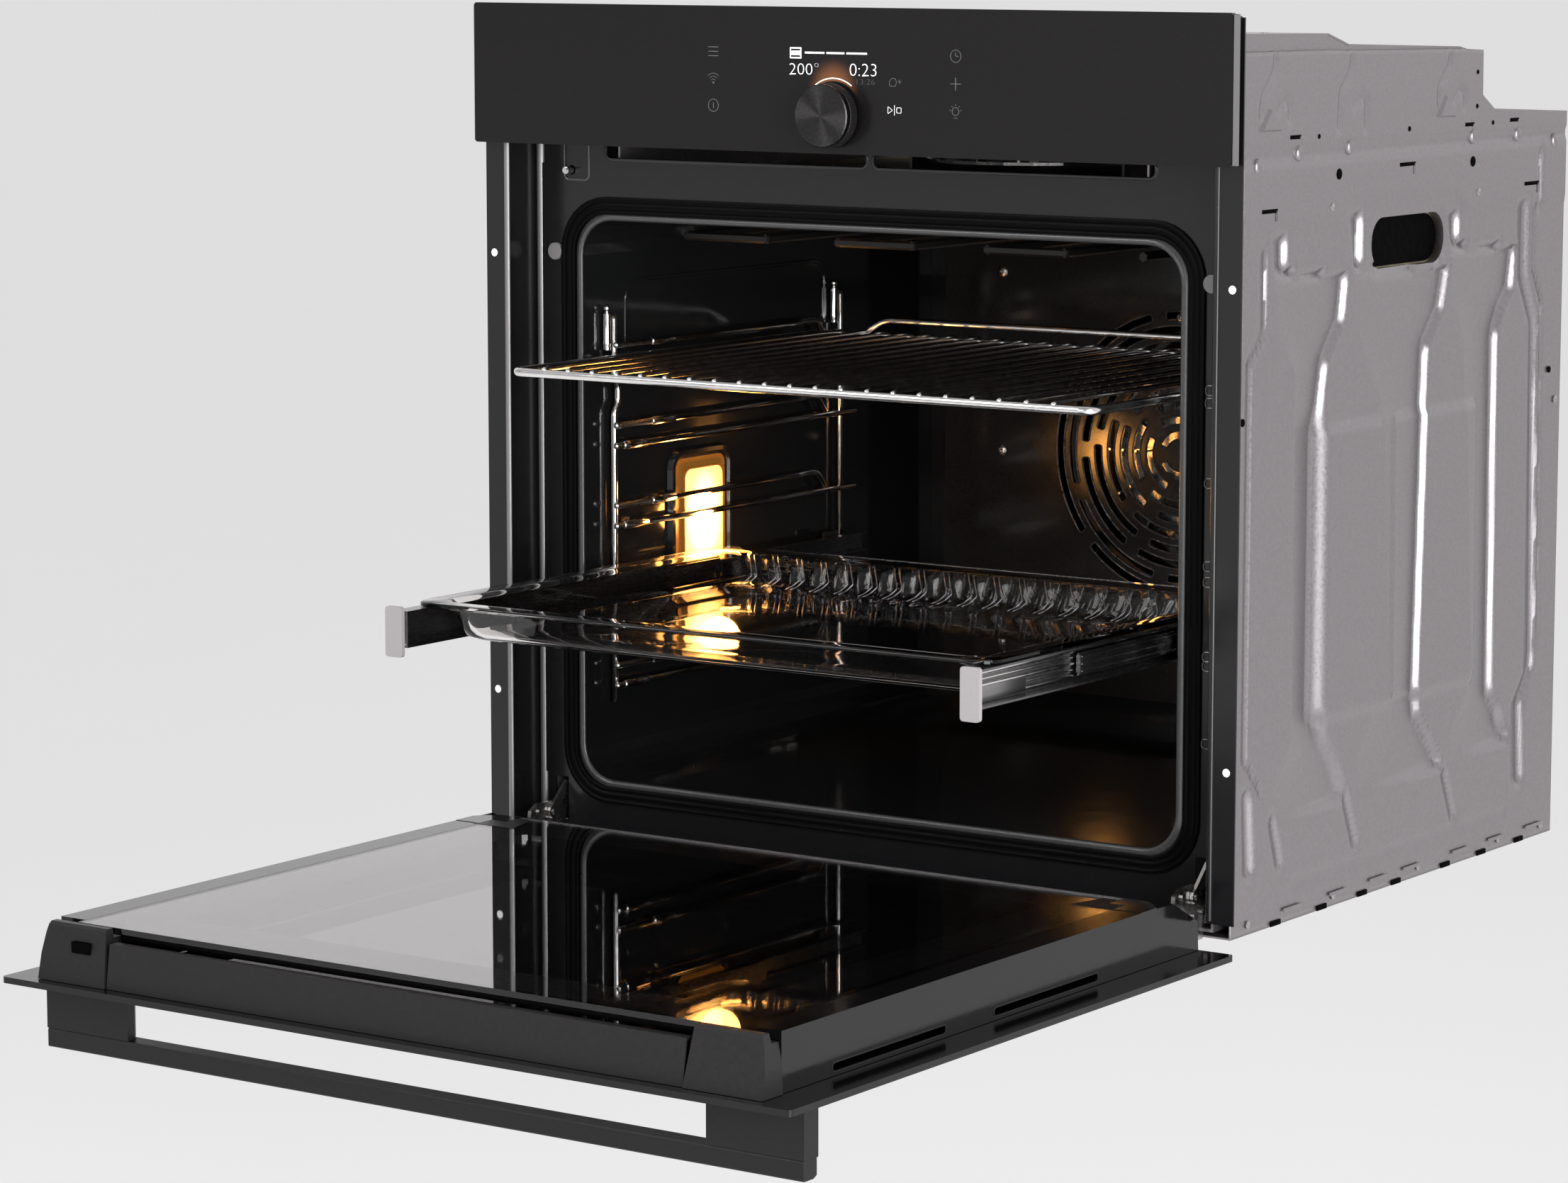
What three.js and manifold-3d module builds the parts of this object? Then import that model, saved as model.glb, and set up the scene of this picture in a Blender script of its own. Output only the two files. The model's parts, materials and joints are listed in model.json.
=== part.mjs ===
// A built-in 60 cm wall oven, shown with its door open and its shelf and glass tray drawn out.
// Units are millimetres. X runs to the viewer's right, Y back into the cabinet and Z up.
// The model is drawn with Y = 0 on the front of the control panel and Z = 0 level with the
// bottom of the front, and the whole group is then moved so that the origin lies on the
// underside of the base plate, at its middle.
import * as THREE from "three";
import { mergeVertices } from "three/addons/utils/BufferGeometryUtils.js";
import Module from "manifold-3d";

const wasm = await Module();
wasm.setup();

// ---------------------------------------------------------------- driving dimensions
const FRONT_HALF = 297.5; // half the width of the front
const FRONT_TOP = 595; // top of the control panel
const PANEL_BOTTOM = 500.3; // bottom of the control panel
const GLASS = 4; // thickness of the front glasses
const GAP = 0.3; // clearance between pieces that lie against each other
const SHEET = 1.2; // thickness of enamelled and galvanised sheet

const FLANGE_Y = 13; // front of the frame's outer flanges
const FLANGE_BOTTOM = 22;
const FLANGE_TOP = 592;
const RETURN_X = 278.6; // inside of the frame's side returns
const FACE_Y = 43; // front of the frame's face, which the door closes on
const FACE_BOTTOM = 20;
const FACE_HALF = RETURN_X - SHEET / 2;

const CASE_HALF = 278.2; // outside of the side panels
const CASE_FRONT = FACE_Y + SHEET + GAP;
const CASE_BACK = 505; // outside of the rear panel
const CASE_BOTTOM = 5; // underside of the base plate
const CASE_TOP = 518; // top of the case behind the fan housing
const HOUSING_BACK = 374; // the fan housing on top ends here
const HOUSING_TOP_FRONT = 570;
const HOUSING_TOP_BACK = 563.5;
const REAR_COVER_BACK = 545; // back of the motor cover, the deepest point

const CAVITY_HALF = 240;
const CAVITY_FLOOR = 57;
const CAVITY_CEILING = 450;
const CAVITY_BACK = 484;
const CAVITY_RADIUS = 28;
const MOUTH_HALF = 237; // opening in the frame's face
const MOUTH_BOTTOM = 59;
const MOUTH_TOP = 447;
const BAFFLE_Y = 450; // front of the fan cover
const FAN_Z = 262; // height of the convection fan's axis
// rings of slots in the fan cover: radius and number of slots
const FAN_RINGS = [[15, 2], [26, 3], [37, 4], [48, 4], [59, 5], [70, 5], [81, 6], [92, 6], [102.5, 6]];

const DOOR_FRONT = -476; // edge of the open door
const DOOR_REAR = 15;
const DOOR_BOTTOM = -0.2; // outside face of the outer glass
const DOOR_TOP = 40; // inside face of the inner glass
const INNER_GLASS = 3.6; // thickness of the inner glass
const DOOR_SIDE = 272.3;
const PIVOT = [10.5, 10.3]; // Y and Z of the door's hinge line

const SWITCH = [-246.7, 480.7]; // X and Z of the door switch pin

const HINGE_X = 258; // middle of each hinge plate
const HINGE_SLOT = [252.5, 263.5, 25.5, 57.5]; // X and Z of the slot that a hinge goes through

const LEVELS = [120, 176.2, 232.3, 288.4, 344.5]; // lower guide wire of each shelf level
const GUIDE_RISE = 14.3; // upper guide wire above the lower one
const GUIDE_X = 231.2;
const UPRIGHT_X = 235;
const UPRIGHT_Y = [74.5, 353];
const WIRE = 2.3; // radius of the side racks' wires

const SHELF_Z = 350;
const SHELF_FRONT = -49;
const SHELF_BACK = 305;
const SHELF_HALF = 226.5;
const TRAY_FRONT = -161;
const TRAY_BACK = 190;
const TRAY_HALF = 225;
const TRAY_RIM = 203.8; // underside of the tray's rim
const RAIL_FRONT = -178;

const KNOB_Z = 525.3;
const KNOB_RADIUS = 20.6;
const KNOB_FRONT = -15;
const KNOB_BACK = -2.5;

const HANDLE_HALF = 287;
const HANDLE_FRONT = -447;
const HANDLE_BACK = -433;
const HANDLE_SEAM = -32.7; // the legs meet the bar here
const HANDLE_BOTTOM = -44.7;

// ---------------------------------------------------------------- materials
const finish = (color, roughness, metalness = 0, extra = {}) => ({ color, roughness, metalness, ...extra });
const FINISH = {
  enamel: finish(0x17191b, 0.3),
  frame: finish(0x3a3a3c, 0.4),
  galvanised: finish(0x969295, 0.45, 0.8),
  steel: finish(0xb8b6b4, 0.25, 1),
  chrome: finish(0xd8d8d8, 0.12, 1),
  panel: finish(0x29282a, 0.35),
  aluminium: finish(0xb5b3b2, 0.3, 1),
  anodised: finish(0x2b292b, 0.35, 0.6),
  plastic: finish(0x2d2b2d, 0.5),
  cap: finish(0xcfc9cc, 0.5),
  rubber: finish(0x0d0d0d, 0.8),
  wool: finish(0xd9cfae, 0.95),
  clear: finish(0x9a9a9a, 0.05, 0, { transparent: true, opacity: 0.35 }),
  darkGlass: finish(0x1c1b1d, 0.08),
  innerGlass: finish(0x3a3538, 0.05, 0, { transparent: true, opacity: 0.7 }),
  lit: finish(0xffc860, 0.3),
  board: finish(0x1f4a2c, 0.6),
};

// ---------------------------------------------------------------- geometry helpers
const flat = (points) => new THREE.Shape(points.map(([u, v]) => new THREE.Vector2(u, v)));

function roundedRect(u0, v0, u1, v1, r) {
  const s = new THREE.Shape();
  s.moveTo(u0 + r, v0).lineTo(u1 - r, v0);
  s.absarc(u1 - r, v0 + r, r, -Math.PI / 2, 0, false);
  s.lineTo(u1, v1 - r);
  s.absarc(u1 - r, v1 - r, r, 0, Math.PI / 2, false);
  s.lineTo(u0 + r, v1);
  s.absarc(u0 + r, v1 - r, r, Math.PI / 2, Math.PI, false);
  s.lineTo(u0, v0 + r);
  s.absarc(u0 + r, v0 + r, r, Math.PI, 1.5 * Math.PI, false);
  return s;
}

function solid(geometry) {
  for (const name of ["normal", "uv"]) geometry.deleteAttribute(name);
  const merged = mergeVertices(geometry, 1e-4);
  return new wasm.Manifold(
    new wasm.Mesh({
      numProp: 3,
      vertProperties: merged.attributes.position.array,
      triVerts: new Uint32Array(merged.index.array),
    }),
  );
}

// A shape drawn in one plane and pulled along the third axis, from one coordinate to another.
const AXES = {
  xy: [new THREE.Vector3(1, 0, 0), new THREE.Vector3(0, 1, 0), new THREE.Vector3(0, 0, 1)],
  xz: [new THREE.Vector3(1, 0, 0), new THREE.Vector3(0, 0, 1), new THREE.Vector3(0, -1, 0)],
  yz: [new THREE.Vector3(0, 1, 0), new THREE.Vector3(0, 0, 1), new THREE.Vector3(1, 0, 0)],
};
function pull(plane, shape, from, to, curveSegments = 3) {
  const g = new THREE.ExtrudeGeometry(shape, { depth: to - from, bevelEnabled: false, curveSegments });
  g.translate(0, 0, plane === "xz" ? -to : from);
  g.applyMatrix4(new THREE.Matrix4().makeBasis(...AXES[plane]));
  return solid(g);
}

function box(x0, x1, y0, y1, z0, z1) {
  const g = new THREE.BoxGeometry(x1 - x0, y1 - y0, z1 - z0);
  return solid(g.translate((x0 + x1) / 2, (y0 + y1) / 2, (z0 + z1) / 2));
}

// A round bar between two points.
function rod(a, b, radius, sides = 8) {
  const from = new THREE.Vector3(...a);
  const along = new THREE.Vector3(...b).sub(from);
  const g = new THREE.CylinderGeometry(radius, radius, along.length(), sides);
  g.translate(0, along.length() / 2, 0);
  g.applyQuaternion(new THREE.Quaternion().setFromUnitVectors(new THREE.Vector3(0, 1, 0), along.normalize()));
  return solid(g.translate(...a));
}

// A bent wire: bars from point to point, each run a little past the bend so that they join.
function wire(points, radius, sides = 6) {
  const bars = points.slice(1).map((p, i) => {
    const a = new THREE.Vector3(...points[i]);
    const b = new THREE.Vector3(...p);
    const over = b.clone().sub(a).setLength(radius * 0.6);
    return rod(a.sub(over).toArray(), b.add(over).toArray(), radius, sides);
  });
  return join(...bars);
}

// A bent tube: a smooth run through the points, closed at both ends.
function tube(points, radius, steps, sides = 3) {
  const corners = points.map((p) => new THREE.Vector3(...p));
  const path = new THREE.CatmullRomCurve3(corners, false, "catmullrom", 0.1);
  const section = new THREE.Shape();
  section.absarc(0, 0, radius, 0, 2 * Math.PI, false);
  return solid(new THREE.ExtrudeGeometry(section, {
    steps, bevelEnabled: false, extrudePath: path, curveSegments: sides,
  }));
}

const join = (...solids) => solids.reduce((sum, s) => sum.add(s));
const cut = (from, ...solids) => solids.reduce((rest, s) => rest.subtract(s), from);
const mirrorX = (s) => s.mirror([1, 0, 0]);

// A ring shape: an outline with a hole in it.
function ring(outer, inner) {
  outer.holes.push(inner);
  return outer;
}

// ---------------------------------------------------------------- scene graph
const oven = new THREE.Group();
function piece(name, made, look) {
  const mesh = made.getMesh();
  const g = new THREE.BufferGeometry();
  g.setAttribute("position", new THREE.BufferAttribute(Float32Array.from(mesh.vertProperties), 3));
  g.setIndex(new THREE.BufferAttribute(Uint32Array.from(mesh.triVerts), 1));
  g.computeVertexNormals();
  const m = new THREE.Mesh(g, new THREE.MeshStandardMaterial(look));
  m.name = name;
  oven.add(m);
  return m;
}
// A left and a right piece from the right-hand one.
function pair(name, made, look) {
  piece(name + "_right", made, look);
  piece(name + "_left", mirrorX(made), look);
}

// ---------------------------------------------------------------- front frame
function frontFrame() {
  const mouth = roundedRect(-MOUTH_HALF, MOUTH_BOTTOM, MOUTH_HALF, MOUTH_TOP, CAVITY_RADIUS - 4);
  const outline = flat([
    [-FACE_HALF, FACE_BOTTOM], [FACE_HALF, FACE_BOTTOM], [FACE_HALF, FLANGE_TOP], [-FACE_HALF, FLANGE_TOP],
  ]);
  const face = pull("xz", ring(outline, mouth), FACE_Y, FACE_Y + SHEET);
  const [x0, x1, z0, z1] = HINGE_SLOT;
  const holes = [-1, 1].flatMap((side) => {
    const slot = side > 0 ? [x0, x1] : [-x1, -x0];
    const vent = side > 0 ? [3, 217] : [-217, -3];
    return [
      box(...slot, FACE_Y - 2, FACE_Y + 4, z0, z1),
      pull("xz", roundedRect(vent[0], 489.5, vent[1], 499.5, 4), FACE_Y - 2, FACE_Y + 4, 2),
    ];
  });
  const switchHole = rod([SWITCH[0], FACE_Y - 2, SWITCH[1]], [SWITCH[0], FACE_Y + 4, SWITCH[1]], 3.4, 12);
  const columns = [-1, 1].flatMap((side) => {
    const span = (a, b) => (side > 0 ? [a, b] : [-b, -a]);
    return [
      box(...span(RETURN_X - SHEET, RETURN_X), FLANGE_Y + 0.4, FACE_Y + SHEET / 2, FACE_BOTTOM + 3,
        FLANGE_TOP - 1),
      box(...span(RETURN_X - SHEET / 2, FRONT_HALF), FLANGE_Y, FLANGE_Y + SHEET, FLANGE_BOTTOM, FLANGE_TOP),
      box(...span(267.5, 271.5), FACE_Y - 1.4, FACE_Y + SHEET / 2, 60, 485),
    ];
  });
  const screwHoles = [-1, 1].flatMap((side) =>
    [424, 120].map((z) => rod([side * 291, FLANGE_Y - 2, z], [side * 291, FLANGE_Y + 4, z], 2.8, 10)));
  return cut(join(face, ...columns), ...holes, switchHole, ...screwHoles);
}

function doorGasket() {
  const outer = roundedRect(-255.2, 41.5, 255.2, 463.3, 36);
  const inner = roundedRect(-242.8, 54, 242.8, 451.2, 26);
  return pull("xz", ring(outer, inner), 40.6, FACE_Y - GAP, 3);
}

// ---------------------------------------------------------------- cavity
function cavityLiner() {
  const outer = roundedRect(-CAVITY_HALF - SHEET, CAVITY_FLOOR - SHEET, CAVITY_HALF + SHEET,
    CAVITY_CEILING + SHEET, CAVITY_RADIUS + SHEET);
  const inner = roundedRect(-CAVITY_HALF, CAVITY_FLOOR, CAVITY_HALF, CAVITY_CEILING, CAVITY_RADIUS);
  const tube = pull("xz", ring(outer, inner), CASE_FRONT, CAVITY_BACK, 3);
  const lampWindow = box(-CAVITY_HALF - 4, -CAVITY_HALF + 4, 150, 212, 184, 272);
  return cut(tube, lampWindow);
}

function cavityBack() {
  const sheet = pull("xz", roundedRect(-CAVITY_HALF - SHEET, CAVITY_FLOOR - SHEET, CAVITY_HALF + SHEET,
    CAVITY_CEILING + SHEET, CAVITY_RADIUS + SHEET), CAVITY_BACK + GAP, CAVITY_BACK + GAP + SHEET, 3);
  const y0 = CAVITY_BACK - 3;
  const y1 = CAVITY_BACK + 6;
  const shaftHole = rod([0, y0, FAN_Z], [0, y1, FAN_Z], 8, 12);
  const terminals = [
    ...HEATER_TAILS.map(([x, z]) => rod([x, y0, z], [x, y1, z], 4.6, 8)),
    ...GRILL_TAILS.map(([x, z]) => rod([x, y0, z], [x, y1, z], 4.6, 8)),
  ];
  return cut(sheet, shaftHole, ...terminals);
}
const TAIL = 12; // length of a heater's end behind the cavity
const HEATER_TAILS = [[-10, 162], [10, 162]];
const GRILL_TAILS = [[-196, 434], [-176, 434]];

// The fan cover stands in front of the back wall, with a slanting flank on each side.
function fanCover() {
  const t = SHEET;
  const bent = flat([
    [-228, 483], [-205, BAFFLE_Y], [205, BAFFLE_Y], [228, 483],
    [228 - t * 1.4, 483], [204.4, BAFFLE_Y + t], [-204.4, BAFFLE_Y + t], [-228 + t * 1.4, 483],
  ]);
  const cover = pull("xy", bent, 78, 430);
  return cut(cover, ...fanSlots(BAFFLE_Y - 2, BAFFLE_Y + 4));
}

// Rings of curved slots round the fan's axis.
function fanSlots(y0, y1) {
  const half = 2.7;
  const bridge = 12; // metal left between the ends of two slots
  return FAN_RINGS.flatMap(([radius, count], k) => {
    const turn = (2 * Math.PI) / count;
    return Array.from({ length: count }, (_, i) => {
      const start = i * turn + k * 0.35 + bridge / 2 / radius;
      return pull("xz", arcSlot(radius, half, start, start + turn - bridge / radius), y0, y1, 3);
    });
  });
}
function arcSlot(radius, half, a0, a1) {
  const s = new THREE.Shape();
  s.absarc(0, FAN_Z, radius + half, a0, a1, false);
  s.absarc(0, FAN_Z, radius - half, a1, a0, true);
  return s;
}

// ---------------------------------------------------------------- fan, heaters and lamp
function fanImpeller() {
  const hub = rod([0, 458, FAN_Z], [0, 477, FAN_Z], 11, 12);
  const plate = rod([0, 474, FAN_Z], [0, 475.5, FAN_Z], 68, 24);
  const blades = Array.from({ length: 12 }, (_, i) => {
    const a = (i * Math.PI) / 6;
    const blade = box(34, 68, 457, 475, -0.8, 0.8);
    return blade.rotate([0, (a * 180) / Math.PI, 0]).translate([0, 0, FAN_Z]);
  });
  const shaft = rod([0, 477, FAN_Z], [0, 500, FAN_Z], 3.5, 10);
  return join(hub, plate, shaft, ...blades);
}

function fanMotor() {
  const can = rod([0, 507, FAN_Z], [0, 538, FAN_Z], 34, 16);
  const foot = box(-45, 45, 502.5, 507.5, FAN_Z - 14, FAN_Z + 14);
  const bore = rod([0, 495, FAN_Z], [0, 530, FAN_Z], 4.2, 10);
  return cut(join(can, foot), bore);
}

function ringHeater() {
  const tail = HEATER_TAILS[1];
  const r = 3.2;
  const radius = Math.hypot(tail[0], tail[1] - FAN_Z);
  const start = Math.atan2(tail[1] - FAN_Z, tail[0]);
  const sweep = 2 * Math.PI - 2 * Math.asin(tail[0] / radius);
  const steps = 20;
  const points = Array.from({ length: steps + 1 }, (_, i) => {
    const a = start + (sweep * i) / steps;
    return [radius * Math.cos(a), 466, FAN_Z + radius * Math.sin(a)];
  });
  points.unshift([tail[0], CAVITY_BACK + TAIL, tail[1]]);
  points.push([-tail[0], CAVITY_BACK + TAIL, tail[1]]);
  return tube(points, r, 3 * steps);
}

function grillElement() {
  const [a, b] = GRILL_TAILS;
  const z = a[1];
  const points = [[a[0], CAVITY_BACK + TAIL, z], [a[0], 110, z]];
  const lanes = [-130, -70, -10, 50, 110, 170];
  lanes.forEach((x, i) => points.push([x, i % 2 ? 400 : 110, z], [x, i % 2 ? 110 : 400, z]));
  points.push([lanes.at(-1), 425, z], [b[0], 425, z], [b[0], CAVITY_BACK + TAIL, z]);
  return wire(points, 3.2);
}

function bottomElement() {
  const z = 50;
  const points = [[-60, CASE_BACK - 8, z], [-60, 130, z], [-150, 130, z], [-150, 420, z], [-205, 420, z],
    [-205, 90, z], [205, 90, z], [205, 420, z], [150, 420, z], [150, 130, z], [60, 130, z],
    [60, CASE_BACK - 8, z]];
  return wire(points, 3.2);
}

function lampHousing() {
  const shell = box(-262, -CAVITY_HALF - SHEET - GAP, 148, 214, 182, 274);
  const hollow = box(-259, -CAVITY_HALF + 5, 153, 209, 187, 269);
  return cut(shell, hollow);
}

function lampCover() {
  const plate = pull("yz", roundedRect(151, 185, 211, 271, 7), -CAVITY_HALF - 0.9, -CAVITY_HALF + 1.5, 2);
  const dome = pull("yz", roundedRect(158, 190, 205, 264, 6), -CAVITY_HALF - 0.9, -CAVITY_HALF + 4.5, 2);
  const hollow = pull("yz", roundedRect(160, 192, 203, 262, 5), -CAVITY_HALF - 3, -CAVITY_HALF + 3, 2);
  return cut(join(plate, dome), hollow);
}

function lampBulb() {
  const glass = rod([-250, 182, 214], [-250, 182, 246], 6, 12);
  const socket = rod([-250, 182, 191], [-250, 182, 214.5], 7.5, 12);
  return join(glass, socket);
}

function insulation() {
  const outer = box(-268, 268, 60, 478, 34, 472);
  const inner = box(-CAVITY_HALF - 2, CAVITY_HALF + 2, 50, 490, CAVITY_FLOOR - 13, CAVITY_CEILING + 2);
  const lamp = box(-269.5, -230, 140, 222, 174, 282);
  const sockets = [-1, 1].map((s) => {
    const x = s * HINGE_X;
    return box(x - 12, x + 12, 50, 94, 20, 75);
  });
  return cut(outer, inner, lamp, ...sockets);
}

// ---------------------------------------------------------------- outer case
function sidePanel() {
  const x0 = CASE_HALF - SHEET;
  const side = pull("yz", flat([
    [CASE_FRONT, CASE_BOTTOM], [CASE_BACK - 1, CASE_BOTTOM], [CASE_BACK - 1, CASE_TOP],
    [HOUSING_BACK + 18, CASE_TOP + 5], [HOUSING_BACK + 0.5, CASE_TOP + 15],
    [HOUSING_BACK, HOUSING_TOP_BACK], [CASE_FRONT, HOUSING_TOP_FRONT],
  ]), x0, CASE_HALF);
  const carrySlot = pull("yz", roundedRect(222, 423, 324, 457, 16), x0 - 2, CASE_HALF + 2, 4);
  // raised pads pressed into the sheet
  const pads = [[150, 375, 133, 324], [385, 470, 120, 366], [62, 148, 120, 372]].map(([a, b, c, d]) =>
    pull("yz", roundedRect(a, c, b, d, 8), x0 - 2.4, x0 + 0.2, 2));
  const hem = pull("yz", roundedRect(CASE_FRONT, 19, 120, 31, 2), x0 - 0.8, x0 + 0.2, 1);
  return cut(join(side, ...pads, hem), carrySlot);
}

function basePlate() {
  const sheet = box(-CASE_HALF + SHEET + GAP, CASE_HALF - SHEET - GAP, CASE_FRONT + 1, CASE_BACK - 3,
    CASE_BOTTOM, CASE_BOTTOM + SHEET);
  const ribs = [150, 274, 398].map((y) =>
    box(-230, 230, y - 12, y + 12, CASE_BOTTOM + SHEET / 2, CASE_BOTTOM + 4));
  const lips = [-1, 1].map((s) => {
    const x = s * (CASE_HALF - SHEET - GAP - SHEET / 2);
    return box(x - SHEET / 2, x + SHEET / 2, CASE_FRONT + 20, CASE_BACK - 20, CASE_BOTTOM, CASE_BOTTOM + 12);
  });
  return join(sheet, ...ribs, ...lips);
}

function backPanel() {
  const half = CASE_HALF - SHEET - GAP;
  const sheet = box(-half, half, CASE_BACK - SHEET - 1.2, CASE_BACK - 1.2, CASE_BOTTOM + 4, CASE_TOP - 1);
  const y0 = CASE_BACK - 2;
  const cover = pull("xz", roundedRect(-72, FAN_Z - 72, 72, FAN_Z + 72, 14), y0, REAR_COVER_BACK, 2);
  const hollow = pull("xz", roundedRect(-70, FAN_Z - 70, 70, FAN_Z + 70, 12), y0 - 6,
    REAR_COVER_BACK - SHEET, 2);
  const vents = [-36, -12, 12, 36].map((x) =>
    box(x - 4, x + 4, REAR_COVER_BACK - 4, REAR_COVER_BACK + 3, FAN_Z - 40, FAN_Z + 40));
  const inlet = box(150, 214, y0 - 6, y0 + 6, 470, 500);
  return cut(cut(join(sheet, cover), hollow), ...vents, inlet);
}

// The sheet over the electronics and the blower, raised at the front.
function housingTop() {
  const half = CASE_HALF - SHEET - GAP;
  const t = SHEET;
  const bent = flat([
    [CASE_FRONT + 1, 581], [158, 579], [186, 571.5], [342, 566.5], [366, 562], [366, 522], [480, 516.5],
    [480, 516.5 - t], [366 - t, 522 - t], [366 - t, 561], [342, 566.5 - t], [186, 571.5 - t],
    [158, 579 - t], [CASE_FRONT + 1, 581 - t],
  ]);
  const sheet = pull("yz", bent, -half, half);
  const louvres = [-150, -50, 50, 150].flatMap((x) =>
    [240, 262, 284].map((y) => box(x - 32, x + 32, y - 3, y + 3, 555, 590)));
  return cut(sheet, ...louvres);
}

function terminalBlock() {
  const body = box(146, 218, 476, CASE_BACK - 4, 473, 497);
  const inlet = box(156, 208, 490, CASE_BACK + 3, 477, 493);
  const wells = [168, 182, 196].map((x) => rod([x, CASE_BACK - 6, 485], [x, CASE_BACK + 8, 485], 4, 8));
  return cut(join(body, inlet), ...wells);
}

// ---------------------------------------------------------------- cooling blower above the cavity
const BLOWER = [0, 250, 512]; // middle of the wheel
function blowerHousing() {
  const [x, y, z] = BLOWER;
  const floor = 477;
  const scroll = rod([x, y, floor], [x, y, z + 26], 92, 24);
  const duct = box(-210, 210, CASE_FRONT + 3, y - 30, floor, 503);
  const inside = rod([x, y, floor + 1.5], [x, y, z + 24.5], 90, 24);
  const ductInside = box(-208.5, 208.5, CASE_FRONT - 3, y - 28, floor + 1.5, 501.5);
  const eye = rod([x, y, z + 20], [x, y, z + 32], 52, 20);
  return cut(join(scroll, duct), inside, ductInside, eye);
}

function blowerWheel() {
  const [x, y, z] = BLOWER;
  const disc = rod([x, y, 486], [x, y, 488], 78, 24);
  const rim = cut(rod([x, y, 528], [x, y, 530.5], 78, 24), rod([x, y, 520], [x, y, 540], 64, 24));
  const hub = rod([x, y, 488], [x, y, 500], 10, 10);
  const blades = Array.from({ length: 16 }, (_, i) =>
    box(66, 77, -0.8, 0.8, 487, 529).rotate([0, 0, (i * 360) / 16]).translate([x, y, 0]));
  return cut(join(disc, rim, hub, ...blades), rod([x, y, 480], [x, y, 505], 3.4, 10));
}

function blowerMotor() {
  const [x, y] = BLOWER;
  const can = rod([x, y, 503], [x, y, 541], 26, 16);
  const shaft = rod([x, y, 482], [x, y, 503.5], 2.8, 10);
  const arm = box(-97, 97, y - 6, y + 6, 539, 542);
  return join(can, shaft, arm);
}

// ---------------------------------------------------------------- control panel
function controlGlass() {
  const shape = roundedRect(-FRONT_HALF + 0.9, PANEL_BOTTOM, FRONT_HALF - 0.9, FRONT_TOP, 2);
  return cut(pull("xz", shape, 0, GLASS, 2), rod([0, -2, KNOB_Z], [0, 8, KNOB_Z], 4.2, 16));
}

function controlCarrier() {
  const back = GLASS + GAP;
  const plate = box(-FRONT_HALF + 0.3, FRONT_HALF - 0.3, back, 8, PANEL_BOTTOM + 0.8, FRONT_TOP - 0.8);
  const lips = [-1, 1].map((s) => {
    const x = s * (FRONT_HALF - 0.3);
    return box(x - 0.3, x + 0.3, 0.6, 7.5, PANEL_BOTTOM + 1.2, FRONT_TOP - 1.2);
  });
  const tray = cut(box(-274, 274, 7, 30, PANEL_BOTTOM + 5, FRONT_TOP - 5),
    box(-272, 272, 9, 40, PANEL_BOTTOM + 7, FRONT_TOP - 7));
  const screenWindow = box(-110, 110, 0, 12, 536, 580);
  const legs = [-1, 1].map((s) => box(s * 268.5 - 4.5, s * 268.5 + 4.5, 26, FACE_Y - GAP, 512, 578));
  return cut(join(plate, ...lips, tray, ...legs), rod([0, -2, KNOB_Z], [0, 12, KNOB_Z], 6, 16), screenWindow);
}

function displayModule() {
  const board = box(-120, 120, 12, 13.6, 510, 584);
  const screen = box(-104, 104, GLASS + GAP + 0.3, 12.5, 540, 576);
  const encoder = box(-8, 8, 13, 24, KNOB_Z - 8, KNOB_Z + 8);
  return cut(join(board, screen, encoder), rod([0, 0, KNOB_Z], [0, 22, KNOB_Z], 3.6, 12));
}

function knobShaft() {
  return join(rod([0, -6, KNOB_Z], [0, 18, KNOB_Z], 3, 12), rod([0, 1, KNOB_Z], [0, 3, KNOB_Z], 3.8, 12));
}

function knob() {
  const profile = [[0, KNOB_FRONT], [KNOB_RADIUS - 0.7, KNOB_FRONT], [KNOB_RADIUS, KNOB_FRONT + 0.7],
    [KNOB_RADIUS, KNOB_BACK], [KNOB_RADIUS - 3, KNOB_BACK], [KNOB_RADIUS - 3, KNOB_FRONT + 3],
    [6, KNOB_FRONT + 3], [6, KNOB_BACK - 0.6], [3.4, KNOB_BACK - 0.6], [3.4, -7], [0, -7]];
  const g = new THREE.LatheGeometry(profile.map(([r, y]) => new THREE.Vector2(r, y)), 32);
  return solid(g.translate(0, 0, KNOB_Z));
}

function doorSwitchPin() {
  const [x, z] = SWITCH;
  return join(rod([x, 36, z], [x, 58, z], 2.6, 12), rod([x, 34.8, z], [x, 36, z], 1.8, 12),
    rod([x, 46.5, z], [x, 48, z], 5, 12));
}

// ---------------------------------------------------------------- side racks and rails
function sideRack() {
  const top = 376;
  const bottom = 110;
  const hookX = CAVITY_HALF - 3.8;
  const uprights = UPRIGHT_Y.map((y) =>
    wire([[UPRIGHT_X, y, bottom], [UPRIGHT_X, y, top], [hookX, y, top + 6]], WIRE));
  const front = UPRIGHT_Y[0] - 3;
  const guides = LEVELS.flatMap((z) => [
    wire([[GUIDE_X, front, z], [GUIDE_X, 366, z]], WIRE),
    wire([[GUIDE_X, front, z + GUIDE_RISE], [GUIDE_X, 321, z + GUIDE_RISE], [GUIDE_X, 332, z]], WIRE),
  ]);
  return join(...uprights, ...guides);
}
function channel(x0, x1, z0, z1, y0, y1, t, openTo) {
  const web = openTo > 0 ? [x0, x0 + t] : [x1 - t, x1];
  return join(box(...web, y0, y1, z0, z1), box(x0, x1, y0, y1, z0, z0 + t), box(x0, x1, y0, y1, z1 - t, z1));
}
const railFixed = () => {
  const rail = channel(222.4, 227.8, 184, 198, 70, 370, 1.2, -1);
  const claws = [95, 330].map((y) => box(226.8, 228.6, y - 9, y + 9, 180, 202));
  return join(rail, ...claws);
};
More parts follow.
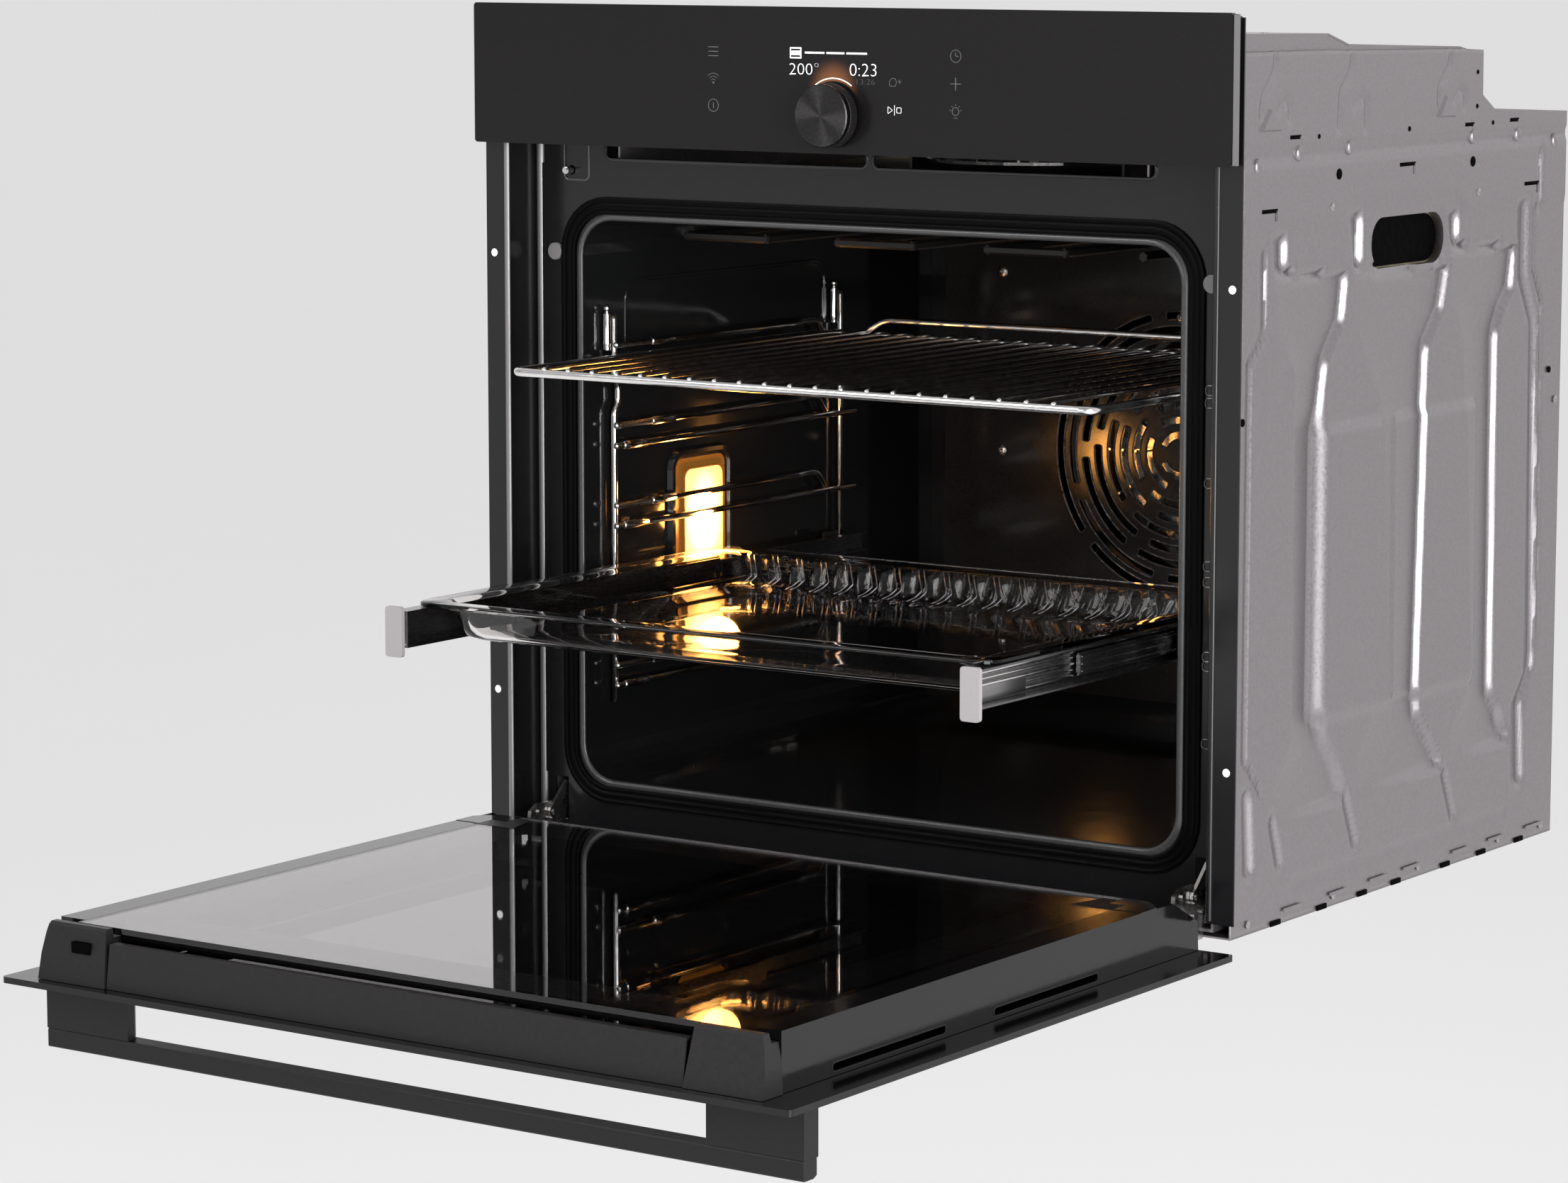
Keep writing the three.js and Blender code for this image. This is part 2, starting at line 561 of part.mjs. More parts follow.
const railMiddle = () =>
  join(box(218.6, 221.6, -50, 235, 185.5, 196.5), box(219.4, 220.8, -50, 235, 184, 198));
const railMoving = () => channel(214.8, 226, 179.2, 203.4, RAIL_FRONT, 115, 1.4, 1);
const railCap = () => {
  const plate = pull("xz", roundedRect(217, 172.8, 231, 206.3, 2.2), RAIL_FRONT - 3.3, RAIL_FRONT - GAP, 2);
  const plug = box(218, 225, RAIL_FRONT - 0.6, RAIL_FRONT + 6, 181.5, 201);
  return join(plate, plug);
};

// ---------------------------------------------------------------- shelf and tray
function wireShelf() {
  const z = SHELF_Z;
  const frame = wire([[-SHELF_HALF, SHELF_FRONT, z], [SHELF_HALF, SHELF_FRONT, z],
    [SHELF_HALF, SHELF_BACK, z], [-SHELF_HALF, SHELF_BACK, z], [-SHELF_HALF, SHELF_FRONT, z]], 3);
  const rungs = Array.from({ length: 21 }, (_, i) => {
    const x = (i - 10) * 20;
    return wire([[x, SHELF_FRONT, z + 3.4], [x, SHELF_BACK, z + 3.4]], 1.7);
  });
  const fence = wire([[-178, SHELF_BACK, z + 4], [-162, SHELF_BACK, z + 13.5], [162, SHELF_BACK, z + 13.5],
    [178, SHELF_BACK, z + 4]], 2.4);
  return join(frame, ...rungs, fence);
}

function glassTray() {
  const rim = pull("xy", roundedRect(-TRAY_HALF, TRAY_FRONT, TRAY_HALF, TRAY_BACK, 14), TRAY_RIM,
    TRAY_RIM + 3.4, 3);
  const bowl = taper(TRAY_HALF - 14, TRAY_HALF - 24, 181, TRAY_RIM + 1);
  const hollow = taper(TRAY_HALF - 17.5, TRAY_HALF - 27.5, 184.5, TRAY_RIM + 5);
  return cut(join(rim, bowl), hollow);
}

// A tapering block with rounded corners: half widths at the top and at the bottom.
function taper(topHalf, bottomHalf, z0, z1) {
  const inset = (h) => TRAY_HALF - h;
  const outline = (h, z) => {
    const i = inset(h);
    const s = roundedRect(-h, TRAY_FRONT + i, h, TRAY_BACK - i, 20);
    return s.getPoints(3).slice(0, -1).map((p) => new THREE.Vector3(p.x, p.y, z));
  };
  const low = outline(bottomHalf, z0);
  const high = outline(topHalf, z1);
  const n = low.length;
  const flatFaces = THREE.ShapeUtils.triangulateShape(low.map((p) => new THREE.Vector2(p.x, p.y)), []);
  const index = [];
  flatFaces.forEach(([a, b, c]) => index.push(a, c, b, n + a, n + b, n + c));
  for (let i = 0; i < n; i++) {
    const j = (i + 1) % n;
    index.push(i, j, n + j, i, n + j, n + i);
  }
  const g = new THREE.BufferGeometry().setFromPoints([...low, ...high]);
  g.setIndex(index);
  return solid(g);
}

// ---------------------------------------------------------------- door, open
function doorOuterGlass() {
  return pull("xy", roundedRect(-FRONT_HALF + 0.1, DOOR_FRONT, FRONT_HALF - 0.1, DOOR_REAR, 3),
    DOOR_BOTTOM, DOOR_BOTTOM + GLASS, 2);
}
const doorMiddleGlass = () => box(-250, 250, -440, -36, 18, 21.2);
const doorInnerGlass = () => {
  const pane = box(-251.5, 251.5, -455, -24.5, DOOR_TOP - INNER_GLASS, DOOR_TOP);
  const corners = [-1, 1].map((s) => box(s * 246.2 - 6, s * 246.2 + 6, -44, -20, 30, 45));
  return cut(pane, ...corners);
};

// The side of the door: a wall with a foot on the outer glass, a seat for the inner one, a ledge
// beside it and, at the rear corner, the plate that holds the glass.
function doorSideProfile() {
  const base = DOOR_BOTTOM + GLASS + GAP;
  const seat = DOOR_TOP - INNER_GLASS - GAP;
  const wall = pull("yz", flat([
    [-448, base], [13, base], [12, 23], [-19, 39.4], [-57, 39.4], [-57, DOOR_TOP], [-448, DOOR_TOP],
  ]), DOOR_SIDE - 1.6, DOOR_SIDE);
  const foot = box(263.9, DOOR_SIDE, -448, 13, base, base + 1.6);
  const shelf = box(246, DOOR_SIDE, -448, -47, seat - 1.6, seat);
  const ledge = box(252, DOOR_SIDE, -448, -57, seat - 1, DOOR_TOP);
  const plate = pull("xy", flat([
    [240.6, -43.5], [240.6, -26], [259, -26], [DOOR_SIDE, -39], [DOOR_SIDE, -58], [252.2, -58],
    [252.2, -43.5],
  ]), seat, DOOR_TOP + GAP);
  const vents = [[-398, -280], [-228, -109]].map(([a, b]) =>
    pull("yz", roundedRect(a, 6.4, b, 12, 2.5), DOOR_SIDE - 6, DOOR_SIDE + 2, 2));
  return cut(join(wall, foot, shelf, ledge, plate), ...vents);
}

function doorEndCap() {
  const base = DOOR_BOTTOM + GLASS + GAP;
  const front = pull("xz", flat([
    [218.6, base], [273.6, base], [273.2, 20], [271, 33], [269, 39.8], [222.5, 39.8],
  ]), -480, -440);
  const lean = pull("yz", flat([
    [-468.4, base], [-448.6, base], [-448.6, 34], [-455.4, 34], [-455.4, 39.8], [-460, 39.8], [-461.8, 38],
  ]), 200, 290);
  return front.intersect(lean);
}

function doorFrontRail() {
  const base = DOOR_BOTTOM + GLASS + GAP;
  const section = flat([
    [-467, base], [-448, base], [-448, base + 1.5], [-465.3, base + 1.5], [-462.3, 30], [-456.5, 30.2],
    [-456.5, 31.6], [-463.2, 31.6],
  ]);
  return pull("yz", section, -218, 218);
}

function doorRearRail() {
  const base = DOOR_BOTTOM + GLASS + GAP;
  const seat = DOOR_TOP - INNER_GLASS - GAP;
  const section = flat([
    [-34, base], [12.5, base], [11.5, 22.5], [-19, 39], [-24.2, 39], [-24.2, seat], [-42, seat],
    [-42, seat - 1.6], [-21, seat - 1.6], [9.7, 20.5], [10.6, base + 1.6], [-34, base + 1.6],
  ]);
  const corners = [-1, 1].map((s) => box(s * 246.2 - 6.4, s * 246.2 + 6.4, -60, -25, 30, 45));
  return cut(pull("yz", section, -251.5, 251.5), ...corners);
}

function handleLeg() {
  const top = DOOR_BOTTOM - GAP;
  const block = box(219.5, HANDLE_HALF, HANDLE_FRONT, HANDLE_BACK, HANDLE_SEAM, top);
  const relief = pull("xy", flat([[215, -430], [215, -440.5], [219.4, -440.5], [228, -430]]), -40, 5);
  return cut(block, relief);
}

function handleBar() {
  const section = flat([
    [HANDLE_FRONT + 0.6, HANDLE_SEAM - GAP], [HANDLE_FRONT, HANDLE_SEAM - 1.2],
    [HANDLE_FRONT, HANDLE_BOTTOM + 0.6],
    [HANDLE_FRONT + 0.6, HANDLE_BOTTOM], [HANDLE_BACK - 4, HANDLE_BOTTOM], [HANDLE_BACK - 0.8, HANDLE_BOTTOM + 1.6],
    [HANDLE_BACK - 0.8, HANDLE_SEAM - GAP],
  ]);
  return pull("yz", section, -HANDLE_HALF + 0.5, HANDLE_HALF - 0.5);
}

// ---------------------------------------------------------------- door hinges
const LINK_PIVOT = [28, 35]; // Y and Z of the rivet that the link turns on
// The arm fixed to the oven: it hooks into the receiver behind the frame and carries the door's pivot.
function hingeArm() {
  const outline = flat([
    [7.6, 5.2], [41, 5.2], [41, 27], [47, 27], [47, 14], [72, 14], [72, 44], [44, 44], [36, 39], [30, 42],
    [13, 42], [5.6, 38], [4.7, 32], [4.8, 20], [5.1, 8],
  ]);
  const plate = pull("yz", outline, HINGE_X - 1.5, HINGE_X + 1.5);
  const rivets = [[14, 36.5, 2.2], [38, 24, 1.6], [28, 22, 1.6]].map(([y, z, r]) =>
    rod([HINGE_X - 3, y, z], [HINGE_X + 3, y, z], r, 8));
  const pin = rod([HINGE_X - 6.2, ...PIVOT], [HINGE_X + 5.6, ...PIVOT], 3, 12);
  const linkPin = rod([HINGE_X - 4.9, ...LINK_PIVOT], [HINGE_X + 4.9, ...LINK_PIVOT], 2.2, 12);
  return join(plate, ...rivets, pin, linkPin);
}

// The link that turns on the arm and draws back into the frame's slot as the door closes.
function hingeLink(side) {
  const x0 = side * HINGE_X + 1.8;
  const x1 = x0 + 2.4;
  const [y, z] = LINK_PIVOT;
  const eye = rod([x0, y, z], [x1, y, z], 5, 14);
  const bar = pull("yz", flat([
    [y - 2.4, z + 3.6], [y + 3.6, z - 1], [y + 18, z + 17], [y + 14.5, z + 20],
  ]), x0, x1);
  const bore = rod([x0 - 1, y, z], [x1 + 1, y, z], 2.5, 14);
  return cut(join(eye, bar), bore);
}

// The socket behind the frame that the arm is hooked into.
function hingeReceiver() {
  const shell = box(HINGE_X - 7, HINGE_X + 7, FACE_Y + SHEET + GAP, 88, 9, 70);
  const hollow = box(HINGE_X - 5.4, HINGE_X + 5.4, FACE_Y - 4, 86, 11, 68);
  return cut(shell, hollow);
}

// ---------------------------------------------------------------- assembly
piece("front_frame", frontFrame(), FINISH.frame);
piece("door_gasket", doorGasket(), FINISH.rubber);
piece("cavity_liner", cavityLiner(), FINISH.enamel);
piece("cavity_back", cavityBack(), FINISH.enamel);
piece("fan_cover", fanCover(), FINISH.enamel);
piece("fan_impeller", fanImpeller(), FINISH.steel);
piece("fan_motor", fanMotor(), FINISH.steel);
piece("ring_heater", ringHeater(), FINISH.steel);
piece("grill_element", grillElement(), FINISH.steel);
piece("bottom_element", bottomElement(), FINISH.steel);
piece("lamp_housing", lampHousing(), FINISH.galvanised);
piece("lamp_cover", lampCover(), FINISH.lit);
piece("lamp_bulb", lampBulb(), FINISH.lit);
piece("insulation", insulation(), FINISH.wool);
pair("side_panel", sidePanel(), FINISH.galvanised);
piece("base_plate", basePlate(), FINISH.galvanised);
piece("back_panel", backPanel(), FINISH.galvanised);
piece("housing_top", housingTop(), FINISH.galvanised);
piece("terminal_block", terminalBlock(), FINISH.plastic);
piece("blower_housing", blowerHousing(), FINISH.galvanised);
piece("blower_wheel", blowerWheel(), FINISH.steel);
piece("blower_motor", blowerMotor(), FINISH.steel);
piece("control_panel_glass", controlGlass(), FINISH.panel);
piece("control_panel_carrier", controlCarrier(), FINISH.aluminium);
piece("display_module", displayModule(), FINISH.board);
piece("knob_shaft", knobShaft(), FINISH.steel);
piece("knob", knob(), FINISH.anodised);
piece("door_switch_pin", doorSwitchPin(), FINISH.steel);
pair("side_rack", sideRack(), FINISH.chrome);
pair("rail_fixed", railFixed(), FINISH.steel);
pair("rail_middle", railMiddle(), FINISH.steel);
pair("rail_moving", railMoving(), FINISH.chrome);
pair("rail_cap", railCap(), FINISH.cap);
piece("wire_shelf", wireShelf(), FINISH.chrome);
piece("glass_tray", glassTray(), FINISH.clear);
piece("door_outer_glass", doorOuterGlass(), FINISH.darkGlass);
piece("door_middle_glass", doorMiddleGlass(), FINISH.clear);
piece("door_inner_glass", doorInnerGlass(), FINISH.innerGlass);
pair("door_side_profile", doorSideProfile(), FINISH.frame);
pair("door_end_cap", doorEndCap(), FINISH.plastic);
piece("door_front_rail", doorFrontRail(), FINISH.anodised);
piece("door_rear_rail", doorRearRail(), FINISH.frame);
piece("handle_bar", handleBar(), FINISH.anodised);
pair("handle_leg", handleLeg(), FINISH.anodised);
pair("hinge_arm", hingeArm(), FINISH.steel);
piece("hinge_link_right", hingeLink(1), FINISH.chrome);
piece("hinge_link_left", hingeLink(-1), FINISH.chrome);
pair("hinge_receiver", hingeReceiver(), FINISH.galvanised);

// The origin lies on the underside of the base plate, at its middle.
oven.position.set(0, -(CASE_FRONT + CASE_BACK) / 2, -CASE_BOTTOM);
export default oven;
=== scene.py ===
"""Looks of a built-in wall oven, shown open with its shelf and tray drawn out."""

import json
import math

import bmesh
import bpy
import numpy as np
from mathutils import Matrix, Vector

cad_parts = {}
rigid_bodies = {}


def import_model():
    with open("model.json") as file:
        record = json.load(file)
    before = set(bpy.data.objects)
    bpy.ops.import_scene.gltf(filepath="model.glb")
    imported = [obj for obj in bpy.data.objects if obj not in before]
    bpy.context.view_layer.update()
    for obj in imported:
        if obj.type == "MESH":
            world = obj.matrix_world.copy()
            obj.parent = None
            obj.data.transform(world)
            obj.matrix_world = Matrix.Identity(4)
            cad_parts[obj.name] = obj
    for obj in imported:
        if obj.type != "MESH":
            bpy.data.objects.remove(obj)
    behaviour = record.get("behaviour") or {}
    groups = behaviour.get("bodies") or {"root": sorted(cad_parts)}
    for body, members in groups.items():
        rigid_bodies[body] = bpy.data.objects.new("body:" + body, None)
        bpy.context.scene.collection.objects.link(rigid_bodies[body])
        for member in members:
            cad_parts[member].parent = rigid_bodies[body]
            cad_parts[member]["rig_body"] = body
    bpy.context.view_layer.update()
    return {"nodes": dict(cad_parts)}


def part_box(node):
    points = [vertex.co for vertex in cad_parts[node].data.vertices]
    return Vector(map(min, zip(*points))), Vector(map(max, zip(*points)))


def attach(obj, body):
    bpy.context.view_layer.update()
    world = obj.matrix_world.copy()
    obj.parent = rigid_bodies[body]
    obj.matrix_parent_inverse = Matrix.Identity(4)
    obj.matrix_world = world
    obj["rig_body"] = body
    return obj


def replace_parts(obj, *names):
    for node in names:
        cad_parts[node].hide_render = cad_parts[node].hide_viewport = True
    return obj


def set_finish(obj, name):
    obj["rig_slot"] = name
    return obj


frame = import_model()

# The helpers below take millimetres: X from the oven's middle, Y back from the front of the control
# panel, Z up from the bottom of the front. The frame's origin lies under the base plate.
ORIGIN_Y = -1000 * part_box("control_panel_glass")[0].y
ORIGIN_Z = 5.0
CASE = "oven_case"


def at(x, y, z):
    return Vector((x / 1000, (y - ORIGIN_Y) / 1000, (z - ORIGIN_Z) / 1000))


def side_tag(side):
    return "_right" if side > 0 else "_left"


# ---------------------------------------------------------------- materials
class Look:
    """A node material: a Principled shader with noise-driven roughness, colour and bump."""

    def __init__(self, name, color, rough, metal=0.0, **sockets):
        self.mat = bpy.data.materials.new(name)
        self.mat.use_nodes = True
        self.tree = self.mat.node_tree
        self.bsdf = self.tree.nodes["Principled BSDF"]
        self.color = (*color, 1.0)
        self.set("Base Color", self.color)
        self.set("Roughness", rough)
        self.set("Metallic", metal)
        for key, value in sockets.items():
            self.set(key.replace("_", " "), value)

    def set(self, socket, value):
        self.bsdf.inputs[socket].default_value = value

    def node(self, kind, **inputs):
        made = self.tree.nodes.new(kind)
        for key, value in inputs.items():
            made.inputs[key.replace("_", " ")].default_value = value
        return made

    def link(self, a, b):
        self.tree.links.new(a, b)

    def noise(self, scale, detail=3.0, stretch=(1, 1, 1)):
        """Noise over the object's own coordinates, in metres."""
        coords = self.node("ShaderNodeTexCoord")
        place = self.node("ShaderNodeMapping", Scale=stretch)
        made = self.node("ShaderNodeTexNoise", Scale=scale, Detail=detail)
        self.link(coords.outputs["Object"], place.inputs["Vector"])
        self.link(place.outputs["Vector"], made.inputs["Vector"])
        return made.outputs["Fac"]

    def spread(self, fac, low, high):
        """The noise's middle range mapped to low..high."""
        made = self.node("ShaderNodeMapRange", From_Min=0.3, From_Max=0.7, To_Min=low, To_Max=high)
        self.link(fac, made.inputs["Value"])
        return made.outputs["Result"]

    def roughen(self, scale, low, high, stretch=(1, 1, 1)):
        self.link(self.spread(self.noise(scale, 4.0, stretch), low, high), self.bsdf.inputs["Roughness"])
        return self

    def mottle(self, scale, amount, stretch=(1, 1, 1)):
        """The base colour varied up and down by amount."""
        mix = self.node("ShaderNodeMix")
        mix.data_type = "RGBA"
        dark, light = [tuple(c * k for c in self.color[:3]) + (1,) for k in (1 - amount, 1 + amount)]
        ends = {"A": dark, "B": light}
        for socket in mix.inputs:
            if socket.name in ends and socket.type == "RGBA":
                socket.default_value = ends[socket.name]
        self.link(self.spread(self.noise(scale, 2.0, stretch), 0, 1), mix.inputs["Factor"])
        out = [s for s in mix.outputs if s.type == "RGBA"][0]
        self.link(out, self.bsdf.inputs["Base Color"])
        return self

    def bump(self, scale, depth_mm, stretch=(1, 1, 1)):
        made = self.node("ShaderNodeBump", Strength=1.0, Distance=depth_mm / 1000)
        self.link(self.noise(scale, 3.0, stretch), made.inputs["Height"])
        self.link(made.outputs["Normal"], self.bsdf.inputs["Normal"])
        return self

    def glow(self, color, strength):
        self.set("Emission Color", (*color, 1.0))
        self.set("Emission Strength", strength)
        return self


def build_looks():
    long_x = (1, 40, 40)
    long_y = (40, 1, 40)
    made = {
        "panel": Look("panel_glass", (0.0066, 0.0058, 0.0062), 0.24, Specular_IOR_Level=0.3)
        .roughen(900, 0.21, 0.28).mottle(700, 0.08),
        "frame": Look("frame_enamel", (0.0058, 0.006, 0.0066), 0.2).roughen(120, 0.17, 0.23)
        .mottle(300, 0.06).bump(60, 0.004),
        # A bright metallic copy of the frame enamel: painted highlight for the left column's bends.
        "bead": Look("frame_bend_highlight", (0.26, 0.255, 0.26), 0.4, 0.8).roughen(300, 0.38, 0.46)
        .bump(1800, 0.008),
        "lip": Look("mouth_lip_enamel", (0.05, 0.05, 0.052), 0.22).roughen(300, 0.18, 0.28).mottle(400, 0.1),
        "enamel": Look("cavity_enamel", (0.008, 0.0084, 0.0088), 0.1, Specular_IOR_Level=0.6)
        .roughen(60, 0.07, 0.13).mottle(900, 0.3).bump(500, 0.008),
        "fan": Look("fan_cover_enamel", (0.011, 0.0112, 0.0115), 0.12, Specular_IOR_Level=0.3)
        .roughen(60, 0.1, 0.16).mottle(900, 0.3).bump(500, 0.006),
        "zinc": Look("galvanised_sheet", (0.278, 0.263, 0.274), 0.34, 0.85).roughen(520, 0.25, 0.42)
        .mottle(420, 0.05).bump(1300, 0.022),
        "steel": Look("plain_steel", (0.42, 0.41, 0.4), 0.26, 1.0).roughen(200, 0.2, 0.32)
        .bump(900, 0.006),
        "rail": Look("rail_steel", (0.2, 0.195, 0.2), 0.26, 1.0).roughen(200, 0.2, 0.32, long_y)
        .mottle(300, 0.1, long_y).bump(900, 0.006, long_y),
        "profile": Look("door_profile_gloss", (0.0035, 0.0032, 0.0034), 0.12, Specular_IOR_Level=0.45)
        .roughen(200, 0.09, 0.16).mottle(500, 0.1),
        "dark_steel": Look("heater_sheath", (0.02, 0.019, 0.018), 0.35, 0.6).roughen(200, 0.3, 0.42)
        .bump(900, 0.01),
        "chrome": Look("chrome_wire", (0.72, 0.71, 0.7), 0.14, 1.0).roughen(120, 0.1, 0.2)
        .mottle(90, 0.05).bump(300, 0.006),
        "grid": Look("shelf_wire", (0.78, 0.77, 0.76), 0.18, 1.0).roughen(120, 0.14, 0.24)
        .mottle(90, 0.05),
        # Lighter than the fan cover's enamel: painted reflection on the slots' rounded edges.
        "rim": Look("slot_rim_reflection", (0.17, 0.168, 0.17), 0.3, 0.7).roughen(200, 0.24, 0.36).mottle(300, 0.1),
        # Bright lines along the tray's flute ridges: painted highlights on the clear glass.
        "flute": Look("flute_glint", (0.34, 0.34, 0.36), 0.2, 0.8).roughen(200, 0.16, 0.26).mottle(200, 0.15),
        "aluminium": Look("aluminium_trim", (0.3, 0.295, 0.3), 0.3, 1.0).roughen(300, 0.26, 0.36, long_x)
        .bump(500, 0.004, long_x),
        "brushed": Look("black_brushed", (0.0125, 0.0115, 0.012), 0.36, 0.2, Specular_IOR_Level=0.3)
        .roughen(220, 0.3, 0.46, (1, 30, 30)).mottle(260, 0.3, (1, 30, 30)).bump(700, 0.012, (1, 30, 30)),
        "knob": Look("knob_spun", (0.048, 0.046, 0.047), 0.26, 0.95, Anisotropic=0.98),
        "plastic": Look("dark_plastic", (0.013, 0.012, 0.0125), 0.4, Specular_IOR_Level=0.32)
        .roughen(300, 0.36, 0.46).mottle(600, 0.08).bump(1500, 0.01),
        "cap": Look("rail_cap_plastic", (0.36, 0.34, 0.35), 0.4).roughen(300, 0.36, 0.46)
        .mottle(500, 0.02).bump(1200, 0.01),
        "bumper": Look("bumper_grey", (0.16, 0.155, 0.158), 0.35).roughen(300, 0.3, 0.4).mottle(500, 0.04),
        "rubber": Look("gasket_silicone", (0.0008, 0.0008, 0.0008), 0.4, Specular_IOR_Level=0.06)
        .roughen(400, 0.36, 0.5).mottle(500, 0.1).bump(1500, 0.012),
        "wool": Look("mineral_wool", (0.3, 0.26, 0.17), 0.95).roughen(90, 0.9, 1.0)
        .mottle(70, 0.25).bump(120, 1.0),
        "tray": Look("tray_glass", (0.86, 0.84, 0.83), 0.02, Transmission_Weight=1.0, IOR=1.33,
                     Specular_IOR_Level=0.3)
        .roughen(40, 0.012, 0.03).bump(25, 0.05),
        "black_glass": Look("door_black_glass", (0.005, 0.0045, 0.005), 0.12, Specular_IOR_Level=0.4)
        .roughen(500, 0.1, 0.16).mottle(600, 0.1),
        "inner_glass": Look("door_inner_glass", (0.78, 0.755, 0.77), 0.01, Transmission_Weight=1.0, IOR=1.55)
        .roughen(20, 0.005, 0.014),
        "print": Look("black_print", (0.003, 0.0028, 0.003), 0.5, Specular_IOR_Level=0.1)
        .roughen(200, 0.4, 0.6).mottle(300, 0.2),
        "pane": Look("door_middle_pane", (0.004, 0.004, 0.004), 0.02).roughen(20, 0.015, 0.03),
        "board": Look("circuit_board", (0.02, 0.07, 0.025), 0.6).roughen(300, 0.5, 0.7).mottle(200, 0.2),
        # Near-black stand-in for the shade inside holes, slots, gaps and openings: painted shade.
        "black": Look("painted_shade_black", (0.001, 0.001, 0.001), 0.8, Specular_IOR_Level=0.03)
        .roughen(200, 0.7, 0.9).mottle(300, 0.2),
        "lamp": Look("lamp_glass", (0.22, 0.1, 0.02), 0.16).glow((1.0, 0.34, 0.03), 0.07),
        "lamp_core": Look("lamp_core", (1.0, 0.85, 0.5), 0.3).glow((1.0, 0.66, 0.2), 6.0),
        "white": Look("display_white", (0.7, 0.7, 0.7), 0.4).glow((1, 1, 1), 0.85),
        "dim": Look("symbol_dim", (0.03, 0.03, 0.03), 0.4).glow((1, 1, 1), 0.05),
        "mid": Look("symbol_mid", (0.06, 0.06, 0.06), 0.4).glow((1, 1, 1), 0.09),
        # Glows white: painted light in the flange's holes.
        "hole_light": Look("screw_hole_light", (0.8, 0.79, 0.79), 0.6).roughen(400, 0.5, 0.7)
        .glow((1, 1, 1), 0.3),
        "led": Look("led_arc", (1.0, 0.9, 0.85), 0.3).glow((1.0, 0.93, 0.88), 1.4),
    }
    for key in ("lamp", "lamp_core", "white", "dim", "mid", "led"):
        made[key].roughen(400, 0.25, 0.4)
    spin = made["knob"]
    tangent = spin.node("ShaderNodeTangent")
    tangent.direction_type = "RADIAL"
    tangent.axis = "Y"
    spin.link(tangent.outputs["Tangent"], spin.bsdf.inputs["Tangent"])
    spin.mottle(500, 0.15).roughen(900, 0.22, 0.29)
    warm_lamp(made["lamp_core"])
    return made


def warm_lamp(lamp):
    """Orange at the lamp cover's edges, white-yellow in its middle."""
    coords = lamp.node("ShaderNodeTexCoord")
    place = lamp.node("ShaderNodeMapping", Scale=(0, 1, 0.62))
    place.inputs["Location"].default_value = (0, -at(0, 181, 0).y, -0.62 * at(0, 0, 228).z)
    away = lamp.node("ShaderNodeVectorMath")
    away.operation = "LENGTH"
    lamp.link(coords.outputs["Object"], place.inputs["Vector"])
    lamp.link(place.outputs["Vector"], away.inputs[0])
    reach = lamp.node("ShaderNodeMapRange", From_Min=0.014, From_Max=0.031)
    lamp.link(away.outputs["Value"], reach.inputs["Value"])
    ramp = lamp.node("ShaderNodeValToRGB")
    stops = ramp.color_ramp
    stops.elements[0].color = (3.2, 2.1, 0.7, 1)
    stops.elements[1].color = (0.9, 0.26, 0.02, 1)
    middle = stops.elements.new(0.45)
    middle.color = (2.0, 0.9, 0.1, 1)
    lamp.link(reach.outputs["Result"], ramp.inputs["Fac"])
    lamp.link(ramp.outputs["Color"], lamp.bsdf.inputs["Emission Color"])
    lamp.set("Emission Strength", 1.0)


LOOKS = build_looks()


def led_halo():
    """A soft orange light behind the glass, strongest at the arc and fading with height."""
    halo = Look("led_halo", (0.0066, 0.0058, 0.0062), 0.24, Specular_IOR_Level=0.3)
    halo.roughen(900, 0.21, 0.28).mottle(700, 0.08)
    coords = halo.node("ShaderNodeTexCoord")
    centre = halo.node("ShaderNodeVectorMath")
    centre.operation = "DISTANCE"
    centre.inputs[1].default_value = at(0, 0, 543)
    halo.link(coords.outputs["Object"], centre.inputs[0])
    ramp = halo.node("ShaderNodeMapRange", From_Min=0.004, From_Max=0.022, To_Min=0.27, To_Max=0.0)
    ramp.interpolation_type = "SMOOTHERSTEP"
    halo.link(centre.outputs["Value"], ramp.inputs["Value"])
    halo.set("Emission Color", (1.0, 0.36, 0.12, 1.0))
    halo.link(ramp.outputs["Result"], halo.bsdf.inputs["Emission Strength"])
    return halo


NODES_BY_LOOK = {
    "frame": "front_frame", "rubber": "door_gasket", "enamel": "cavity_liner cavity_back",
    "fan": "fan_cover", "steel": "fan_impeller fan_motor blower_wheel blower_motor knob_shaft hinge_arm",
    "dark_steel": "ring_heater grill_element bottom_element",
    "zinc": "lamp_housing side_panel base_plate back_panel housing_top blower_housing hinge_receiver",
    "lamp": "lamp_cover", "lamp_core": "lamp_bulb", "wool": "insulation",
    "plastic": "terminal_block door_end_cap door_front_rail door_rear_rail", "panel": "control_panel_glass",
    "aluminium": "control_panel_carrier", "board": "display_module", "knob": "knob",
    "chrome": "door_switch_pin side_rack wire_shelf hinge_link",
    "rail": "rail_fixed rail_middle rail_moving", "cap": "rail_cap", "tray": "glass_tray",
    "black_glass": "door_outer_glass", "pane": "door_middle_glass", "inner_glass": "door_inner_glass",
    "profile": "door_side_profile", "brushed": "handle_bar handle_leg",
}
NODE_LOOK = {node: look for look, nodes in NODES_BY_LOOK.items() for node in nodes.split()}


def wear(obj, look):
    obj.data.materials.clear()
    obj.data.materials.append(LOOKS[look].mat)
    return obj


def bevelled(obj, width_mm, segments=2, angle=35):
    edge = obj.modifiers.new("edges", "BEVEL")
    edge.width = width_mm / 1000
    edge.segments = segments
    edge.limit_method = "ANGLE"
    edge.angle_limit = math.radians(angle)
    edge.harden_normals = True
    return obj


